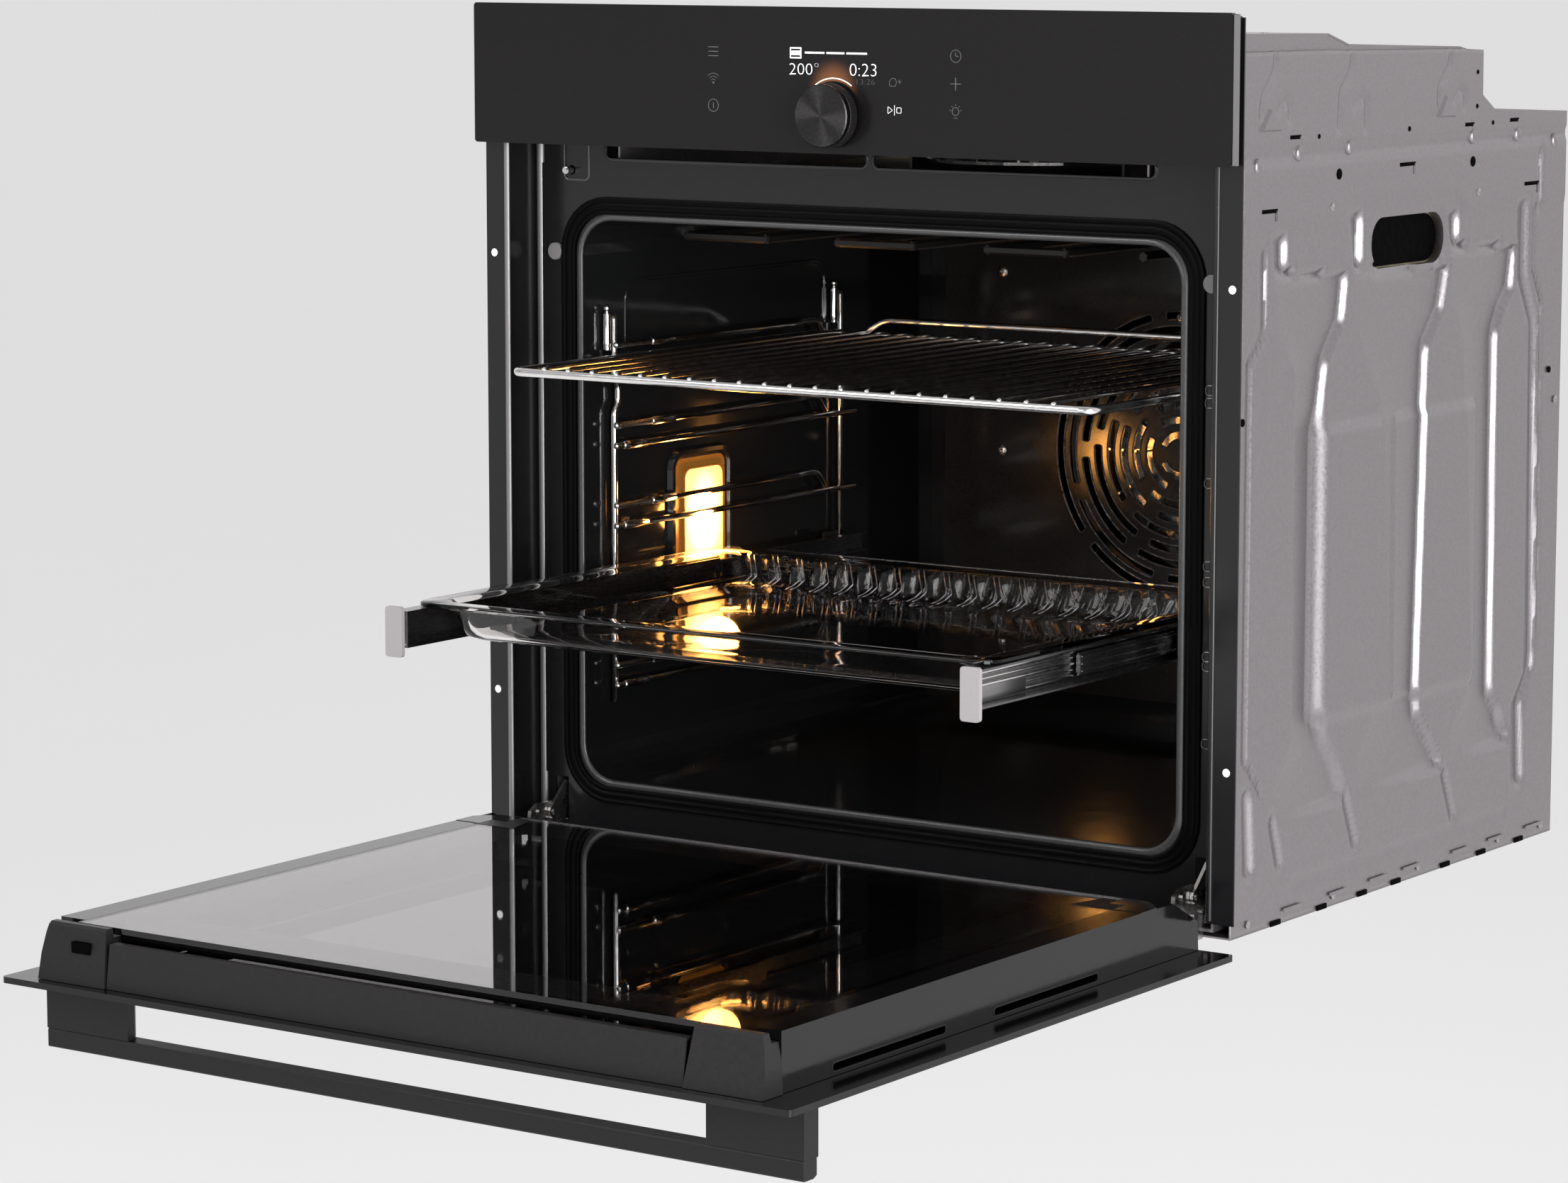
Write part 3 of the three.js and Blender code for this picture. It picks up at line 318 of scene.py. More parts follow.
for node_name, node_object in frame["nodes"].items():
    stem = node_name.removesuffix("_right").removesuffix("_left")
    wear(node_object, NODE_LOOK[stem])
    node_object.data.shade_smooth()
    node_object.data.set_sharp_from_angle(angle=math.radians(32))
EDGES = {
    "control_panel_glass": 0.5, "knob": 0.3, "handle_bar": 0.5, "handle_leg_left": 0.5,
    "handle_leg_right": 0.5, "door_end_cap_left": 0.9, "door_end_cap_right": 0.9, "rail_cap_left": 0.7,
    "rail_cap_right": 0.7, "door_outer_glass": 0.8, "door_inner_glass": 0.4, "fan_cover": 0.75,
}
for node_name, width in EDGES.items():
    bevelled(frame["nodes"][node_name], width, 3)


# ---------------------------------------------------------------- geometry helpers
# The record's material slot that each look goes with, where a call doesn't name another.
SLOT_OF = {
    "zinc": "galvanised", "chrome": "chrome", "grid": "chrome", "enamel": "enamel", "black": "enamel",
    "rim": "enamel", "plastic": "plastic", "frame": "frame", "bead": "frame", "lip": "frame",
    "hole_light": "frame", "rubber": "rubber", "bumper": "cap", "panel": "panel", "print": "inner_glass",
    "tray": "clear", "flute": "clear", "steel": "steel", "lamp_core": "lit", "white": "lit", "mid": "lit",
    "dim": "lit", "led": "lit",
}


def placed(name, data):
    obj = bpy.data.objects.new(name, data)
    bpy.context.scene.collection.objects.link(obj)
    return obj


def finished(name, mesh, look, body=CASE, slot=None, smooth=40):
    obj = placed(name, mesh)
    wear(obj, look)
    mesh.shade_smooth()
    mesh.set_sharp_from_angle(angle=math.radians(smooth))
    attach(obj, body)
    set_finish(obj, slot or SLOT_OF[look])
    return obj


def edit(mesh, change):
    """Changes a mesh through bmesh."""
    work = bmesh.new()
    work.from_mesh(mesh)
    change(work)
    work.to_mesh(mesh)
    work.free()
    return mesh


def face_outwards(work):
    bmesh.ops.recalc_face_normals(work, faces=work.faces)


def half_turn(steps):
    return [math.pi * k / steps for k in range(steps + 1)]


def circle(radius, sides, squash=1.0):
    """Points round a circle, the second coordinate scaled by squash."""
    turns = [2 * math.pi * k / sides for k in range(sides)]
    return [(radius * math.cos(t), squash * radius * math.sin(t)) for t in turns]


def circle_on_axis(centre, radius, sides, axis, along):
    """A circle about an axis (0 X, 1 Y, 2 Z) through the centre, at a distance along it."""
    points = []
    for u, v in circle(radius, sides):
        p = [u, v]
        p.insert(axis, along)
        points.append(tuple(c + q for c, q in zip(centre, p)))
    return points


def mesh_from(name, points, faces):
    mesh = bpy.data.meshes.new(name)
    mesh.from_pydata([tuple(p) for p in points], [], faces)
    mesh.validate()
    return edit(mesh, face_outwards)


def loft(name, rings, look, body=CASE, slot=None, closed_path=False, smooth=40):
    """A skin over rings of points, in millimetres, that all have the same count."""
    n = len(rings[0])
    points = [at(*p) for ring in rings for p in ring]
    faces = []
    spans = len(rings) if closed_path else len(rings) - 1
    for i in range(spans):
        a, b = i * n, ((i + 1) % len(rings)) * n
        faces += [(a + j, a + (j + 1) % n, b + (j + 1) % n, b + j) for j in range(n)]
    if not closed_path:
        faces += [tuple(range(n)), tuple(range((len(rings) - 1) * n, len(rings) * n))]
    return finished(name, mesh_from(name, points, faces), look, body, slot, smooth)


def rounded_path(points, radius, closed=False, steps=5):
    """The points in millimetres with each corner rounded by an arc-like curve."""
    pts = [Vector(p) for p in points]
    out = []
    count = len(pts)
    for i, p in enumerate(pts):
        if not closed and i in (0, count - 1):
            out.append(p)
            continue
        before, after = pts[i - 1] - p, pts[(i + 1) % count] - p
        r = min(radius, before.length * 0.49, after.length * 0.49)
        a, b = p + before.normalized() * r, p + after.normalized() * r
        for k in range(steps + 1):
            t = k / steps
            out.append(a * (1 - t) ** 2 + p * 2 * t * (1 - t) + b * t ** 2)
    return out


def wire(name, points, radius, look, body=CASE, slot=None, bend=6.0, closed=False, sides=12):
    """A round wire along the points, with rounded bends and rounded ends."""
    path = rounded_path(points, bend, closed)
    count = len(path)
    rings = []
    normal = None
    for i, p in enumerate(path):
        a = path[i - 1] if (i or closed) else p
        b = path[(i + 1) % count] if (i < count - 1 or closed) else p
        along = (b - a).normalized()
        if normal is None:
            helper = Vector((0, 0, 1)) if abs(along.z) < 0.9 else Vector((1, 0, 0))
            normal = along.cross(helper).normalized()
        normal = (normal - along * normal.dot(along)).normalized()
        side = along.cross(normal)
        turn = [2 * math.pi * k / sides for k in range(sides)]
        rings.append([tuple(p + radius * (normal * math.cos(t) + side * math.sin(t))) for t in turn])
    if not closed:
        for end, other, where in ((0, 1, "start"), (-1, -2, "end")):
            tip = path[end]
            out = (tip - path[other]).normalized()
            small = [tuple(tip + out * radius * 0.45 + (Vector(q) - tip) * 0.62) for q in rings[end]]
            rings = [small] + rings if where == "start" else rings + [small]
    return loft(name, rings, look, body, slot, closed_path=closed, smooth=60)


def joined(name, parts):
    """Several pieces of one look made into one mesh piece."""
    work = bmesh.new()
    for part in parts:
        part.data.transform(part.matrix_world)
        work.from_mesh(part.data)
    mesh = bpy.data.meshes.new(name)
    work.to_mesh(mesh)
    work.free()
    look, body, slot = parts[0].data.materials[0], parts[0]["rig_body"], parts[0]["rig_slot"]
    for part in parts:
        bpy.data.objects.remove(part)
    obj = placed(name, mesh)
    mesh.materials.append(look)
    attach(obj, body)
    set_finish(obj, slot)
    return obj


def slab(name, x, y, z, look, body=CASE, slot=None, edge=0.4):
    """A block with rounded edges; x, y and z are its limits in millimetres."""
    points = [(a, b, c) for a in x for b in y for c in z]
    faces = [(0, 1, 3, 2), (4, 6, 7, 5), (0, 4, 5, 1), (2, 3, 7, 6), (0, 2, 6, 4), (1, 5, 7, 3)]
    mesh = mesh_from(name, [at(*p) for p in points], faces)
    edit(mesh, lambda work: bmesh.ops.bevel(work, geom=work.edges[:], offset=edge / 1000, segments=2,
                                            affect="EDGES", profile=0.5))
    return finished(name, mesh, look, body, slot)


def disc(name, centre, radius, depth, axis, look, edge=0.3, sides=32):
    """A round button standing along an axis, with an eased rim."""
    steps = ((radius - edge, 0), (radius, edge), (radius, depth - edge), (radius - edge, depth))
    return loft(name, [circle_on_axis(centre, r, sides, axis, h) for r, h in steps], look, smooth=50)


def mirror_points(points, side):
    return [(side * x, y, z) for x, y, z in points]


def arc(cx, cz, r, a0, a1, steps=14):
    turn = [math.radians(a0 + (a1 - a0) * k / steps) for k in range(steps + 1)]
    return [(cx + r * math.cos(t), cz + r * math.sin(t)) for t in turn]


def outline_rounded(u0, v0, u1, v1, r, steps=8):
    """Points of a rounded rectangle, anticlockwise."""
    out = []
    left, right, low, high = u0 + r, u1 - r, v0 + r, v1 - r
    for cu, cv, start in ((right, low, -90), (right, high, 0), (left, high, 90), (left, low, 180)):
        for k in range(steps + 1):
            t = math.radians(start + 90 * k / steps)
            out.append((cu + r * math.cos(t), cv + r * math.sin(t)))
    return out


def frame_sweep(name, rect, radius, profile, look, body=CASE, slot=None, plane="xz", steps=8):
    """A closed strip round a rounded rectangle; profile points are (outward, along the third axis)."""
    u0, v0, u1, v1 = rect
    base = outline_rounded(u0, v0, u1, v1, radius, steps)
    rings = []
    for i, (u, v) in enumerate(base):
        du = base[(i + 1) % len(base)][0] - base[i - 1][0]
        dv = base[(i + 1) % len(base)][1] - base[i - 1][1]
        size = math.hypot(du, dv)
        nu, nv = dv / size, -du / size
        ring = []
        for out, third in profile:
            a, b = u + nu * out, v + nv * out
            ring.append({"xz": (a, third, b), "yz": (third, a, b), "xy": (a, b, third)}[plane])
        rings.append(ring)
    return loft(name, rings, look, body, slot, closed_path=True)


# ---------------------------------------------------------------- side panels
# Pressed folds: the sheet falls gently from the first line to the second, then climbs back steeply.
# Each row is (Z, Y where the fall starts, Y where it ends).
FOLDS = [
    (3, 2.4, 3, [(442, 70, 80), (392, 71, 81), (374, 52, 62), (118, 52, 62), (93, 74, 84)]),
    (6, 5.2, 14, [(448, 86, 104), (430, 90, 104), (422, 93, 186), (391, 94, 181), (379, 106, 170),
                  (367, 119, 160), (329, 119, 152), (138, 121, 152), (130, 121, 158), (118, 120, 161),
                  (98, 98, 178), (78, 98, 188)]),
    (6, 5.2, 5, [(458, 188, 205), (428, 196, 205), (420, 199, 330), (389, 199, 320), (378, 206, 310),
                 (367, 216, 300), (329, 240, 298), (134, 256, 291), (128, 228, 296), (118, 226, 296),
                 (100, 208, 314), (80, 206, 330)]),
    (6, 5.2, 5.5, [(452, 325, 342), (434, 333, 342), (427, 335, 430), (396, 335, 424), (385, 345, 412),
                 (368, 354, 402), (300, 360, 403), (140, 372, 405), (118, 366, 405), (105, 350, 418),
                 (92, 345, 424), (84, 345, 432)]),
    (8, 4.4, 6, [(455, 430, 446), (405, 432, 446), (372, 452, 463), (140, 455, 470), (125, 455, 468),
                 (105, 436, 452), (60, 436, 455), (50, 438, 456)]),
    (3, 1.8, 3, [(450, 455, 458), (408, 455, 458), (385, 468, 472), (150, 474, 478), (118, 458, 462),
                 (105, 457, 460)]),
    (8, 4.4, 8, [(95, 56, 66), (45, 58, 70)]),
    (5, 3.6, 5, [(506, 44.5, 46), (465, 44.5, 46)]),
    (5, 3.4, 5, [(489, 461, 466), (457, 460, 465)]),
    (5, 3.2, 5, [(74, 90, 100), (44, 100, 110)]),
    (5, 3.2, 5, [(76, 188, 198), (42, 203, 213)]),
    (5, 3.2, 5, [(70, 330, 340), (38, 345, 355)]),
]
SLOT_RECT = (222.0, 423.0, 324.0, 457.0)
SLOT_RADIUS = 16.0
SHEET_X = 278.2
PANEL_Y = (44.6, 503.9)
PANEL_BOTTOM = 5.1
STEP_Y = 374.0
PANEL_COLUMNS, LEVEL_ROWS, SLANTED_ROWS = 307, 126, 24
LEVEL_ROWS_TOP = 505
SLOT_LIP = 8.2
SHEET_METRES = 0.0009


def smooth(edge0, edge1, v):
    t = np.clip((v - edge0) / (edge1 - edge0), 0, 1)
    return t * t * (3 - 2 * t)


def box_mask(y, z, y0, y1, z0, z1, soft):
    inside = smooth(y0 - soft, y0, y) * (1 - smooth(y1, y1 + soft, y))
    return inside * smooth(z0 - soft, z0, z) * (1 - smooth(z1, z1 + soft, z))


def slot_distance(y, z):
    """Distance outside the carry slot's outline, negative inside it."""
    y0, z0, y1, z1 = SLOT_RECT
    a = np.abs(y - (y0 + y1) / 2) - (y1 - y0) / 2 + SLOT_RADIUS
    b = np.abs(z - (z0 + z1) / 2) - (z1 - z0) / 2 + SLOT_RADIUS
    return np.hypot(np.maximum(a, 0), np.maximum(b, 0)) + np.minimum(np.maximum(a, b), 0) - SLOT_RADIUS


def panel_depth(y, z):
    """How far the pressed sheet lies inside the panel's outer plane."""
    depth = np.zeros_like(y)
    for climb, fall, low_climb, rows in FOLDS:
        zs = np.array([r[0] for r in rows][::-1], float)
        left = np.interp(z, zs, [r[1] for r in rows][::-1])
        right = np.interp(z, zs, [r[2] for r in rows][::-1])
        width = climb + (low_climb - climb) * smooth(345, 318, z)
        gentle = np.clip((y - left) / np.maximum(right - left, 1), 0, 1)
        steep = 1 - smooth(0, 1, (y - right) / width)
        inside = smooth(zs[0] - 7, zs[0], z) * (1 - smooth(zs[-1], zs[-1] + 7, z))
        deeper = 1 + 0.45 * (low_climb > 10) * smooth(345, 318, z) * smooth(120, 134, z)
        depth = np.maximum(depth, fall * deeper * gentle * steep * inside * (y > left))
    pad = box_mask(y, z, 153, 376, 133, 323, 2.8)
    depth -= 1.9 * pad
    depth += 1.2 * box_mask(y, z, 236, 256, 134, 322, 1.5)
    top_line = 459 + 12 * smooth(176, 196, y) * (1 - smooth(336, 356, y))
    depth += 0.9 * (1 - smooth(top_line - 5, top_line, z))
    depth += 1.6 * np.exp(-((z - 503) / 3.2) ** 2)
    depth += 0.9 * box_mask(y, z, 125, 431, 28, 31, 2.5)
    for rib in UPPER_RIBS:
        near = np.full_like(y, 1e9)
        for (ya, za), (yb, zb) in zip(rib, rib[1:]):
            dy, dz = yb - ya, zb - za
            t = np.clip(((y - ya) * dy + (z - za) * dz) / (dy ** 2 + dz ** 2), 0, 1)
            near = np.minimum(near, np.hypot(y - ya - t * dy, z - za - t * dz))
        depth += 1.7 * np.exp(-(near / 2.6) ** 2)
    rim = slot_distance(y, z)
    depth += 1.3 * np.exp(-((rim - 1) / 3.5) ** 2)
    deepest = 2.4 + 5.4 * smooth(34, 50, z)
    return np.clip(depth, -1.6, deepest)


UPPER_RIBS = [
    [(87, 566), (87, 557), (72, 542), (70, 531)],
    [(188, 563), (188, 556), (174, 541), (172, 519)],
    [(326, 560), (326, 555), (311, 541), (311, 531)],
    [(92, 532), (100, 539), (107, 535), (107.3, 527)],
    [(193, 532), (201, 538), (208.5, 534), (208.8, 517)],
    [(333, 532), (341, 538), (348.6, 534), (348.8, 527)],
    [(50.5, 458), (50.5, 345)],
    [(50.5, 328), (50.5, 110)],
]


def panel_top(y):
    """Upper edge of the side panel: the step down behind the housing."""
    front = np.interp(y, [44, 158, 183, 342, 374], [569.4, 568.5, 567.6, 565, 563.4])
    rear = np.interp(y, [STEP_Y + 0.4, 392, 504], [533, 523.2, 518])
    return np.where(y <= STEP_Y, front, rear)


def pressed_panel(side):
    ys = np.sort(np.append(np.linspace(*PANEL_Y, PANEL_COLUMNS), [STEP_Y, STEP_Y + 0.4]))
    low = np.linspace(PANEL_BOTTOM, LEVEL_ROWS_TOP, LEVEL_ROWS)
    high = np.linspace(0, 1, SLANTED_ROWS)[1:]
    grid_y = np.repeat(ys[:, None], len(low) + len(high), axis=1)
    top = panel_top(ys)[:, None]
    grid_z = np.hstack([np.repeat(low[None, :], len(ys), axis=0), low[-1] + (top - low[-1]) * high[None, :]])
    x = SHEET_X - panel_depth(grid_y, grid_z)
    rows, cols = grid_y.shape
    points = [at(side * a, b, c) for a, b, c in zip(x.ravel(), grid_y.ravel(), grid_z.ravel())]
    faces = [(i * cols + j, (i + 1) * cols + j, (i + 1) * cols + j + 1, i * cols + j + 1)
             for i in range(rows - 1) for j in range(cols - 1)]
    work = bmesh.new()
    verts = [work.verts.new(p) for p in points]
    gone = slot_distance(grid_y, grid_z).ravel() < -1.6
    for f in faces:
        if not any(gone[i] for i in f):
            work.faces.new([verts[i] for i in f])
    bmesh.ops.delete(work, geom=[v for v in verts if not v.link_faces], context="VERTS")
    rim = [v for v in work.verts if any(len(e.link_faces) == 1 for e in v.link_edges)]

    def flat(v):
        return v.co.y * 1000 + ORIGIN_Y, v.co.z * 1000 + ORIGIN_Z

    for v in rim:
        y, z = flat(v)
        if abs(slot_distance(np.float64(y), np.float64(z))) > 8:
            continue
        for _ in range(3):
            d = float(slot_distance(np.float64(y), np.float64(z)))
            gy = float(slot_distance(np.float64(y + 0.01), np.float64(z)) - d) / 0.01
            gz = float(slot_distance(np.float64(y), np.float64(z + 0.01)) - d) / 0.01
            y, z = y - d * gy, z - d * gz
        v.co = at(side * (SHEET_X - float(panel_depth(np.array([y]), np.array([z]))[0])), y, z)
    edges = [e for e in work.edges if len(e.link_faces) == 1
             and all(abs(float(slot_distance(*map(np.float64, flat(v))))) < 0.6 for v in e.verts)]
    turned = bmesh.ops.extrude_edge_only(work, edges=edges)["geom"]
    for v in (g for g in turned if isinstance(g, bmesh.types.BMVert)):
        v.co.x = side * (SHEET_X - SLOT_LIP) / 1000
    face_outwards(work)
    if sum(f.normal.x for f in work.faces) * side < 0:
        bmesh.ops.reverse_faces(work, faces=work.faces)
    name = "pressed_side" + side_tag(side)
    mesh = bpy.data.meshes.new(name)
    work.to_mesh(mesh)
    work.free()
    obj = finished(name, mesh, "zinc", smooth=50)
    skin = obj.modifiers.new("sheet", "SOLIDIFY")
    skin.thickness = SHEET_METRES
    skin.offset = -1
    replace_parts(obj, "side_panel" + side_tag(side))


def side_fittings(side):
    tag = side_tag(side)
    y0, z0, y1, z1 = SLOT_RECT
    ring = [(side * 270.4, y, z) for y, z in outline_rounded(y0 + 1.2, z0 + 1.2, y1 - 1.2, z1 - 1.2, 15)]
    floor = [(side * 269.2, y, z) for _, y, z in ring]
    # A black sheet closing the carry slot: painted shade inside it.
    loft("carry_slot_shade" + tag, [ring, floor], "black")
    out = side * SHEET_X
    holes = [(172.5, 488.3, 3.6), (361.2, 488.5, 3.6), (268.5, 513.9, 1.8), (144.9, 513.6, 1.6),
             (366, 548.7, 1.6), (366, 525.7, 1.6), (390, 513.7, 1.6), (484.2, 337.6, 2.4), (50.7, 337.1, 2.6)]
    # Black discs in the panel's holes: painted shade.
    openings = [disc(f"panel_hole_{i}{tag}", (out - 0.4, y, z), r, 0.8, 0, "black", edge=0.2, sides=20)
                for i, (y, z, r) in enumerate(holes)]
    tabs = []
    lances = [(72, 92, 462, 470), (256, 278, 484, 492), (440, 462, 463, 471), (107, 121, 512.6, 515.6),
              (349, 362, 512, 515), (416, 429, 512.8, 515.8)]
    for i, (y0, y1, z0, z1) in enumerate(lances):
        wide = sorted((out - 0.6 * side, out + 0.25 * side))
        # A black strip in each lance's gap: painted shade.
        openings.append(slab(f"lance_gap_{i}{tag}", wide, (y0, y1), (z1 - 2.6, z1), "black", edge=0.1))
        near = sorted((out, out + 1.3 * side))
        tabs.append(slab(f"lance_tab_{i}{tag}", near, (y1 - 2.4, y1), (z0, z1 - 1), "zinc", edge=0.4))
    for i, (y, z) in enumerate([(66.3, 497.4), (119.5, 503.9), (187.2, 505.2), (361.4, 505.6), (428.4, 504.5),
                                (485.7, 497.8)]):
        rings = [[(out + side * h, y + u, z + v) for u, v in circle(r, 20, 1.3)]
                 for r, h in ((4.2, -1.8), (3.9, 0), (3.2, 0.9), (1.8, 1.5), (0.6, 1.7))]
        tabs.append(loft(f"dimple_{i}{tag}", rings, "zinc", smooth=70))
    for i, flap in enumerate([[(63, 518), (79, 536), (92, 526), (97, 517.5)],
                              [(304, 519), (318, 537), (331, 527), (337, 518)]]):
        mid_y, mid_z = (sum(c) / 4 for c in zip(*flap))
        inner = [(out + 1.7 * side, y + (mid_y - y) * 0.35, z + (mid_z - z) * 0.35) for y, z in flap]
        tabs.append(loft(f"flap_{i}{tag}", [[(out - 1.9 * side, y, z) for y, z in flap], inner], "zinc"))
    hump = [(45.5, 560), (45.5, 580.2), (158, 578.2), (186, 570.8), (342, 565.8), (364, 561), (364, 556)]
    loft("housing_side" + tag, [[(side * x, y, z) for y, z in hump] for x in (275.2, 276.3)], "zinc")
    screws = [(66, 12), (180, 12), (300, 12), (420, 12), (486, 12), (494.7, 315.8), (164.3, 467.4),
              (370.5, 467.5)]
    for i, y in enumerate((96, 158, 214, 262, 334, 388, 446)):
        wide = sorted((out - 0.8 * side, out + 0.2 * side))
        # A black strip in each foot notch: painted shade.
        openings.append(slab(f"foot_notch_{i}{tag}", wide, (y, y + 13), (5.2, 8.6), "black", edge=0.1))
        near = sorted((out, out + 1.1 * side))
        tabs.append(slab(f"foot_tab_{i}{tag}", near, (y + 16, y + 40), (12.5, 15), "zinc", edge=0.5))
    joined("panel_screws" + tag, [screw(f"panel_screw_{i}{tag}", (out, y, z), 0, side, "steel", 2.6, 1.0)
                                  for i, (y, z) in enumerate(screws)])
    joined("panel_openings" + tag, openings)
    joined("panel_tabs" + tag, tabs)


def screw(name, centre, axis, out, look, radius=3.2, height=1.1):
    """A domed screw head with a cross recess; out is +1 or -1 along the axis."""
    sides = 20
    dome = ((radius, -0.15), (radius, 0.35 * height), (radius * 0.72, 0.85 * height), (radius * 0.4, height))
    rings = [circle_on_axis(centre, r, sides, axis, out * h) for r, h in dome]
    wide = circle_on_axis(centre, radius * 0.34, sides, axis, out * height * 0.45)
    narrow = circle_on_axis(centre, radius * 0.14, sides, axis, out * height * 0.45)
    rings.append([wide[k] if k % 5 in (0, 4) else narrow[k] for k in range(sides)])
    return loft(name, rings, look)


for s in (1, -1):
    pressed_panel(s)
    side_fittings(s)


# ---------------------------------------------------------------- racks, shelf and tray
LEVELS = [120, 176.2, 232.3, 288.4, 344.5]
RISE = 14.3  # from a level's lower wire to its upper one
CLIP_HALF = 13


def side_rack(side):
    tag = side_tag(side)
    parts = []

    def add(points, radius=2.3, bend=5.0):
        name = f"rack_part_{len(parts)}{tag}"
        parts.append(wire(name, mirror_points(points, side), radius, "chrome", bend=bend))

    add([(237, 68, 379), (235, 74.5, 379), (235, 74.5, 336), (235, 79, 330), (235, 79, 318),
         (235, 74.5, 312), (235, 74.5, 109)], bend=4)
    add([(237, 345, 379), (235, 353, 379), (235, 353, 109)], bend=4)
    for z in LEVELS:
        add([(231.2, 71.5, z), (231.2, 366, z)])
        add([(231.2, 71.5, z + RISE), (231.2, 292, z + RISE), (233.6, 304, z + RISE), (233.6, 321, z + RISE),
             (233.6, 332, z + 1)], bend=6)
    rack = joined("wire_rack" + tag, parts)
    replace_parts(rack, "side_rack" + tag)
    for i, y in enumerate((74.5, 353)):
        profile = [(0.4, 387), (1.9, 386.2), (2.5, 384.4), (1.9, 382.6), (1.3, 381.8), (2.7, 380.8),
                   (2.7, 362), (3.1, 360.5), (2.6, 355.5), (0.3, 354)]
        lathe(f"rack_stud_{i}{tag}", (side * 236, y - 6.5), profile, "chrome")
    clips = [(231.2, y, z + RISE * k) for z in LEVELS for k, y in ((0, 93), (1, 126))]
    knots = []
    for i, (x, y, z) in enumerate(clips):
        bar = [(x, y - CLIP_HALF, z), (x, y + CLIP_HALF, z)]
        knots.append(wire(f"rack_clip_{i}{tag}", mirror_points(bar, side), 3.2, "chrome"))
    joined("rack_clips" + tag, knots)


def lathe(name, centre_xy, profile, look):
    """A turned piece standing along Z; profile points are (radius, Z)."""
    centre = (*centre_xy, 0)
    return loft(name, [circle_on_axis(centre, r, 18, 2, z) for r, z in profile], look, smooth=50)


def shelf():
    z, half, front, back = 350, 226.5, -49, 305
    parts = [wire("shelf_frame", [(-half, front, z), (half, front, z), (half, back, z), (-half, back, z)], 3,
                  "grid", "shelf", bend=9, closed=True, sides=14)]
    for i in range(21):
        x = (i - 10) * 20
        ends = [(x, front - 1.2, z + 2.4), (x, front + 3, z + 3.8), (x, back - 3, z + 3.8),
                (x, back + 1.2, z + 2.4)]
        parts.append(wire(f"shelf_rung_{i}", ends, 1.7, "grid", "shelf", bend=2))
    parts.append(wire("shelf_fence", [(-180, back, z + 3.5), (-163, back, z + 13.5), (163, back, z + 13.5),
                                      (180, back, z + 3.5)], 2.4, "grid", "shelf", bend=7))
    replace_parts(joined("shelf_grid", parts), "wire_shelf")


FLUTE_STEP = 20.5


def tray():
    """A pressed glass tray: a flat rim, a sloping wall with flutes at the back, a flat bottom."""
    x0, x1, y0, y1 = -225.0, 225.0, -161.0, 190.0
    steps = 10
    base = outline_rounded(x0, y0, x1, y1, 14, steps)
    dense = []
    for i, p in enumerate(base):
        q = base[(i + 1) % len(base)]
        count = max(1, int(math.dist(p, q) / 1.7))
        dense += [(p[0] + (q[0] - p[0]) * k / count, p[1] + (q[1] - p[1]) * k / count) for k in range(count)]

    def ring(inset, z, flute=0.0):
        out = []
        for x, y in dense:
            cx, cy = (x0 + x1) / 2, (y0 + y1) / 2
            hx, hy = (x1 - x0) / 2, (y1 - y0) / 2
            sx, sy = (hx - inset) / hx, (hy - inset) / hy
            wave = flute * (1 - abs(math.sin(math.pi * x / FLUTE_STEP))) * (abs(x) < 205) * (y > y1 - 1)
            out.append((cx + (x - cx) * sx, cy + (y - cy) * sy - wave, z))
        return out
    rings = [
        ring(60, 181.1), ring(28, 181.2), ring(22, 184, 1.6), ring(19.5, 189, 2.6), ring(16, 198, 1.8),
        ring(13.5, 202.5), ring(10, 203.8), ring(0.8, 203.9), ring(0, 204.6), ring(0, 206.6),
        ring(0.8, 207.3),
        ring(12, 207.3), ring(14.5, 207), ring(17.5, 204.5), ring(20, 199, 1.8), ring(23.5, 191, 2.8),
        ring(26.5, 186.5, 1.8), ring(31, 184.5), ring(60, 184.4),
    ]
    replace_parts(loft("glass_tray_fluted", rings, "tray", "tray_carriage"), "glass_tray")
    # Thin bright wires along each flute's ridges: painted highlights on the glass.
    ridges = []
    for k in range(-10, 11):
        x = k * FLUTE_STEP
        if abs(x) > 200:
            continue
        bend = [(x - 5, y1 - 31.5, 184.7), (x - 1, y1 - 28, 187), (x + 3.5, y1 - 26, 191.4),
                (x - 1, y1 - 21.6, 199), (x - 5, y1 - 17.4, 204.8)]
        for shift in (0, 4.2):
            path = [(a + shift, b, c) for a, b, c in bend]
            ridges.append(wire(f"flute_glint_{len(ridges)}", path, 0.34, "flute", "tray_carriage", bend=2,
                               sides=6))
    joined("flute_glints", ridges)


def rail_details(side):
    """Rolled ridges along the moving and middle members of the rail."""
    tag = side_tag(side)
    web, middle = 216.2, 221.6
    members = [
        ("tray_carriage", "rail_ridges", web, (-176.5, 113),
         ((183.4, 1.9), (187.4, 1.1), (191.3, 1.6), (195.2, 1.1), (199.2, 1.9))),
        ("middle_rail" + tag, "rail_race_ridges", middle, (-48, 233),
         ((186.4, 0.45), (191, 0.5), (195.6, 0.45))),
    ]
    for body, name, face, (y0, y1), ridges in members:
        parts = []
        for i, (z, r) in enumerate(ridges):
            bead = [(face + r * math.sin(t), z + r * math.cos(t)) for t in half_turn(8)]
            rings = [[(side * x, y, q) for x, q in bead] for y in (y0, y1)]
            parts.append(loft(f"{name}_{i}{tag}", rings, "chrome", body, "steel", smooth=60))
        joined(name + tag, parts)
    # A lighter strip over the front of the moving member: painted reflection of the bright front.
    reflection_x = sorted((side * 218.2, side * 216.3))
    slab("rail_front_reflection" + tag, reflection_x, (-171.6, -108), (181.4, 190.6), "aluminium", "tray_carriage",
         "steel", edge=0.6)


for s in (1, -1):
    rail_details(s)
    side_rack(s)
shelf()
tray()


